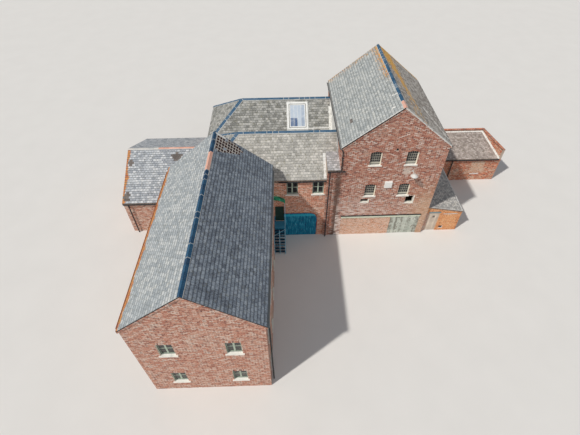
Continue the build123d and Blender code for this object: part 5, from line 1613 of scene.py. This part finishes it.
VENT_LINING, SLOT_PITCH = 0.012, 0.043
linings = Piece("vent_linings", reveal_finish(), "sill_stone")
inside = (-WALL + 0.01, -0.001)
for u0, v0, u1, v1 in vent_holes:
    foot = v0 + VENT_LINING
    linings.box(south, (u0, v0, u1, foot), inside)
    linings.box(south, (u1 - VENT_LINING, foot, u1, v1), inside)
    linings.box(south, (u0, foot, u0 + 0.008, v1), inside)
    linings.box(south, (u0 - 0.05, v0 - 0.07, u1 + 0.06, v0), (0.0, 0.012))
    linings.box(south, (u1, v0, u1 + 0.07, v1 + 0.03), (0.0, 0.012))
linings.finish_piece()
u0, v0, u1, v1 = AIR_BRICK
low, high = v0 + 0.01, v1 - 0.01
dark_strips.box(south, (u0 + 0.01, low, u1 - 0.01, high), (0.0, 0.003))
for k in range(4):
    u = u0 + 0.02 + k * SLOT_PITCH
    dark_strips.box(south, (u, low, u + 0.014, high), (0.003, 0.009))
u0, v0, u1, v1 = PANEL_VENT
# A dark plate over the panel's vent: painted shade of its opening.
dark_strips.box(lean_front, PANEL_VENT, (0.0, 0.002))
flashings.box(lean_front, (u0 - 0.02, v0 - 0.05, u1 + 0.05, v0), (0.0, 0.014), 1.0)
flashings.box(lean_front, (u1, v0, u1 + 0.05, v1), (0.0, 0.014), 1.0)
# A dark strip along the top of the cart opening's beam: its flashing, and painted shade of the gap above the
# beam.
dark_strips.box(south, (CART_WEST - 0.04, CART_TOP - 0.002, CART_EAST + 0.03, CART_TOP + 0.09), (-0.01, 0.05))
flashings.box(lean_front, (5.5, 2.0, 6.72, 2.08), (0.0, 0.014), 0.7)
flashings.box(yard_face, (10.5, 0.74, 11.4, 0.84), (0.0, 0.03), 1.0)
dark_strips.box(yard_face, (BLIND[0], BLIND[3], BLIND[2], BLIND[3] + 0.02), (0.0, 0.008))
flashings.finish_piece()
dark_strips.finish_piece()
over_door = Piece("leanto_door_head", paints["bluish_lintel"], "beam_paint")
over_door.box(lean_front, (DOOR_HOLE[0] - 0.05, 2.18, DOOR_HOLE[2] + 0.06, 2.32), (0.0, 0.016))
over_door.finish_piece()

# Skylight bars and panes


def border(u0, v0, u1, v1, width):
    """The four sides of a frame inside a box: the bottom, the top, the left and the right."""
    low, high = v0 + width, v1 - width
    return (u0, v0, u1, low), (u0, high, u1, v1), (u0, low, u0 + width, high), (u1 - width, low, u1, high)


SHADOW_GAP, STILE, PANES = 0.045, 0.075, 4
DARK_PANES = {(0, 0): 0.15, (0, 1): 0.0, (0, 3): 0.55, (1, 3): 0.7}
sky_left, sky_right, sky_bottom, sky_top = -7.6, -6.12, 5.778, 7.44
glass_corner, glass_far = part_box("skylight_glass")
glass_face = Face((0, sky_bottom, glass_corner.z), (1, 0, 0), (0, 1, SLOPE))
glass_high = (sky_top - sky_bottom) / cos(PITCH_ANGLE)
glass_top = (glass_far.z - glass_face.at(0, glass_high).z) * cos(PITCH_ANGLE)
shadow_gaps = Piece("skylight_gaps", paints["dark_flashing_and_shade"], "skylight_paint")
for box in border(sky_left, 0.0, sky_right, glass_high, SHADOW_GAP):
    shadow_gaps.box(glass_face, box, (glass_top + 0.001, glass_top + 0.006))
shadow_gaps.finish_piece()
first_u, last_u, last_v = sky_left + SHADOW_GAP, sky_right - SHADOW_GAP, glass_high - SHADOW_GAP
glazing = Piece("skylight_bars", paints["white_paint"], "skylight_paint")
for box in border(first_u, SHADOW_GAP, last_u, last_v, STILE):
    glazing.box(glass_face, box, (glass_top + 0.001, glass_top + 0.03))
panes = Piece("skylight_panes", glass_finish("skylight_panes", *SKY_TINTS, toned=True), "window_glass")
pane_low, pane_high, pane_west = SHADOW_GAP + STILE, last_v - STILE, first_u + STILE
pane_width = (last_u - STILE - pane_west) / PANES
for k in range(PANES):
    left = pane_west + k * pane_width
    for row, part in enumerate(((0.0, 0.4), (0.4, 1.0))):
        tone = DARK_PANES.get((row, k), 0.85 + 0.15 * chance.random())
        rows = [pane_low + (pane_high - pane_low) * v for v in part]
        panes.block(glass_face, (left, left + pane_width), rows, (glass_top + 0.001, glass_top + 0.007), tone)
    if k:
        bar = (left - 0.01, pane_low, left + 0.01, pane_high)
        glazing.box(glass_face, bar, (glass_top + 0.007, glass_top + 0.016))
panes.finish_piece()
glazing.finish_piece()

# The cabinet's door, the boarding and the lean-to door's boards

cabinet_low, cabinet_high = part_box("gable_cabinet")
cabinet_face = Face(cabinet_low, (1, 0, 0), UP)
wide, tall = cabinet_high.x - cabinet_low.x, cabinet_high.z - cabinet_low.z
cabinet = Piece("cabinet_door", paints["white_paint"], "cabinet_paint")
cabinet.box(cabinet_face, (0.03, 0.03, wide - 0.03, tall - 0.03), (-0.002, 0.008))
for v in (0.12, tall - 0.16):
    cabinet.box(cabinet_face, (0.012, v, 0.03, v + 0.05), (-0.002, 0.014))
cabinet.box(cabinet_face, (wide - 0.09, tall / 2 - 0.04, wide - 0.06, tall / 2 + 0.04), (0.006, 0.02))
cabinet.finish_piece()

board_low, board_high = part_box("cart_opening_boarding")
board_face = Face((board_low.x, board_low.y, 0), (1, 0, 0), UP)
boards = Piece("boarding_boards", peeling, "boarding")
left, wide = 0.0, board_high.x - board_low.x
while left < wide - 0.05:
    right = min(wide, left + 0.14 + 0.05 * chance.random())
    rise = 0.006 + 0.012 * chance.random()
    box = (left + 0.003, board_low.z + 0.01, right - 0.003, board_high.z)
    boards.box(board_face, box, (-0.002, rise), chance.random())
    left = right
boards.finish_piece()

DOOR_BOARDS, EYE, EYE_PROUD = 5, 0.013, 0.031
SPY_Z, SPY_HALF, SPY_RIM = 1.7, 0.061, 0.035
door_low, door_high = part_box("leanto_door")
door_front = Face((door_low.x, door_low.y + EYE_PROUD, 0), (1, 0, 0), UP)
spy_x = HALF + 0.856 - door_low.x
spy_hole = (spy_x - SPY_HALF, SPY_Z - SPY_HALF, spy_x + SPY_HALF, SPY_Z + SPY_HALF)
boarded = door_high.x - door_low.x - 0.032
planks = Piece("leanto_door_boards", woods["door_wood"], "door_timber", "leanto_door")
for k in range(DOOR_BOARDS):
    left, right = 2 * EYE + k * boarded / DOOR_BOARDS, 0.022 + (k + 1) * boarded / DOOR_BOARDS
    tone = chance.random()
    for box in less((left, door_low.z + 0.02, right, door_high.z - 0.02), spy_hole):
        planks.box(door_front, box, (-0.002, 0.004), tone)
planks.finish_piece()
rim = Piece("leanto_door_spy_rim", paints["black_iron"], "door_timber", "leanto_door")
u0, v0, u1, v1 = spy_hole
for box in less((u0 - SPY_RIM, v0 - SPY_RIM, u1 + SPY_RIM, v1 + SPY_RIM), spy_hole):
    rim.box(door_front, box, (0.0, 0.009))
rim.finish_piece()

# The lamp's enamelled shade, round its head

SHADE_SIDES = 24
lamp_low, lamp_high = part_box("gable_lamp")
shade_middle = Vector(((lamp_low.x + lamp_high.x) / 2, lamp_low.y + 0.2, lamp_high.z - 0.2))
profile = [(0.27, 0.0), (0.275, 0.012), (0.22, 0.08), (0.13, 0.14), (0.06, 0.175), (0.055, 0.21)]
profile += [(0.02, 0.225), (0.015, 0.2), (0.05, 0.155), (0.12, 0.128), (0.21, 0.07), (0.262, 0.0)]
size = len(profile)
points, quads = [], []
for k in range(SHADE_SIDES):
    angle = 2 * pi * k / SHADE_SIDES
    points += [shade_middle + Vector((r * cos(angle), r * sin(angle), z)) for r, z in profile]
    a, b = k * size, (k + 1) % SHADE_SIDES * size
    quads += [(a + n, b + n, b + (n + 1) % size, a + (n + 1) % size) for n in range(size)]
shade = Piece("gable_lamp_shade", paints["lamp_metal"], "lamp_paint")
shade.shape(points, quads)
shade.finish_piece()

# Finishes of the model's own pieces

roof_body = roof_body_finish()
finishes = {
    "window_frames": frame_finish(),
    "window_glass": glass_finish("old_glass", (14, 18, 22), (52, 60, 64), 0.12, film=(0.5, 0.35)),
    "window_sills": paints["painted_sill"],
    "gable_cabinet": paints["white_paint"],
    "gable_lamp": paints["lamp_metal"],
    "gable_lintel": paints["pale_green_beam"],
    "block_gable_wall": mortars["gable"],
    "raised_bay_walls": mortars["gable"],
    "cart_opening_boarding": peeling,
    "cart_opening_brick_infill": mortars["orange"],
    "outbuilding_coping": bricks["yard"],
    "link_front_wall": mortars["link"],
    "skylight_frame": paints["white_paint"],
    "skylight_glass": glass_finish("skylight_glass", *SKY_TINTS),
    "ground_floors": concrete_finish(),
    "upper_floors": woods["floor_wood"],
    "gutters": gutter_finish(),
    "downpipes": paints["black_iron"],
    "porch_canopy": canopy_finish(),
    "porch_door": paints["dark_green_door"],
    "porch_guard_rails": paints["pale_blue_steel"],
    # The porch stair's paint is its blue steel darkened as painted shade.
    "porch_stair": paints["painted_shade_blue_steel"],
    "leanto_door": woods["door_wood"],
    "leanto_door_frame": woods["door_wood"],
    "ridge_tiles": clay,
}
for name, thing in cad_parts.items():
    if name in finishes:
        finish = finishes[name]
    elif "roof" in name:
        finish = roof_body
    elif name.startswith("leanto") and name != "leanto_west_pier":
        finish = mortars["orange"]
    elif name.startswith("porch"):
        finish = paints["blue_green_steel"]
    else:
        finish = mortars["stock"]
    thing.data.materials.clear()
    thing.data.materials.append(finish)

# The floor

FLOOR_HALF = 220
floor_mesh = bpy.data.meshes.new("floor")
corners = [(x, y, 0) for x, y in upright(-FLOOR_HALF, -FLOOR_HALF, FLOOR_HALF, FLOOR_HALF)]
floor_mesh.from_pydata(corners, [], [(0, 1, 2, 3)])
floor_finish = Finish("plain_floor", roughness=0.95, specular=0.1)
floor_finish.colour(floor_finish.mix(floor_finish.noise(0.4, 2), (222, 219, 214), (228, 225, 220)))
floor_mesh.materials.append(floor_finish.material)
floor_object = bpy.data.objects.new("floor", floor_mesh)
floor_object.location.z = -0.002
scene.collection.objects.link(floor_object)
floor_object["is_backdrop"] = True

low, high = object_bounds()
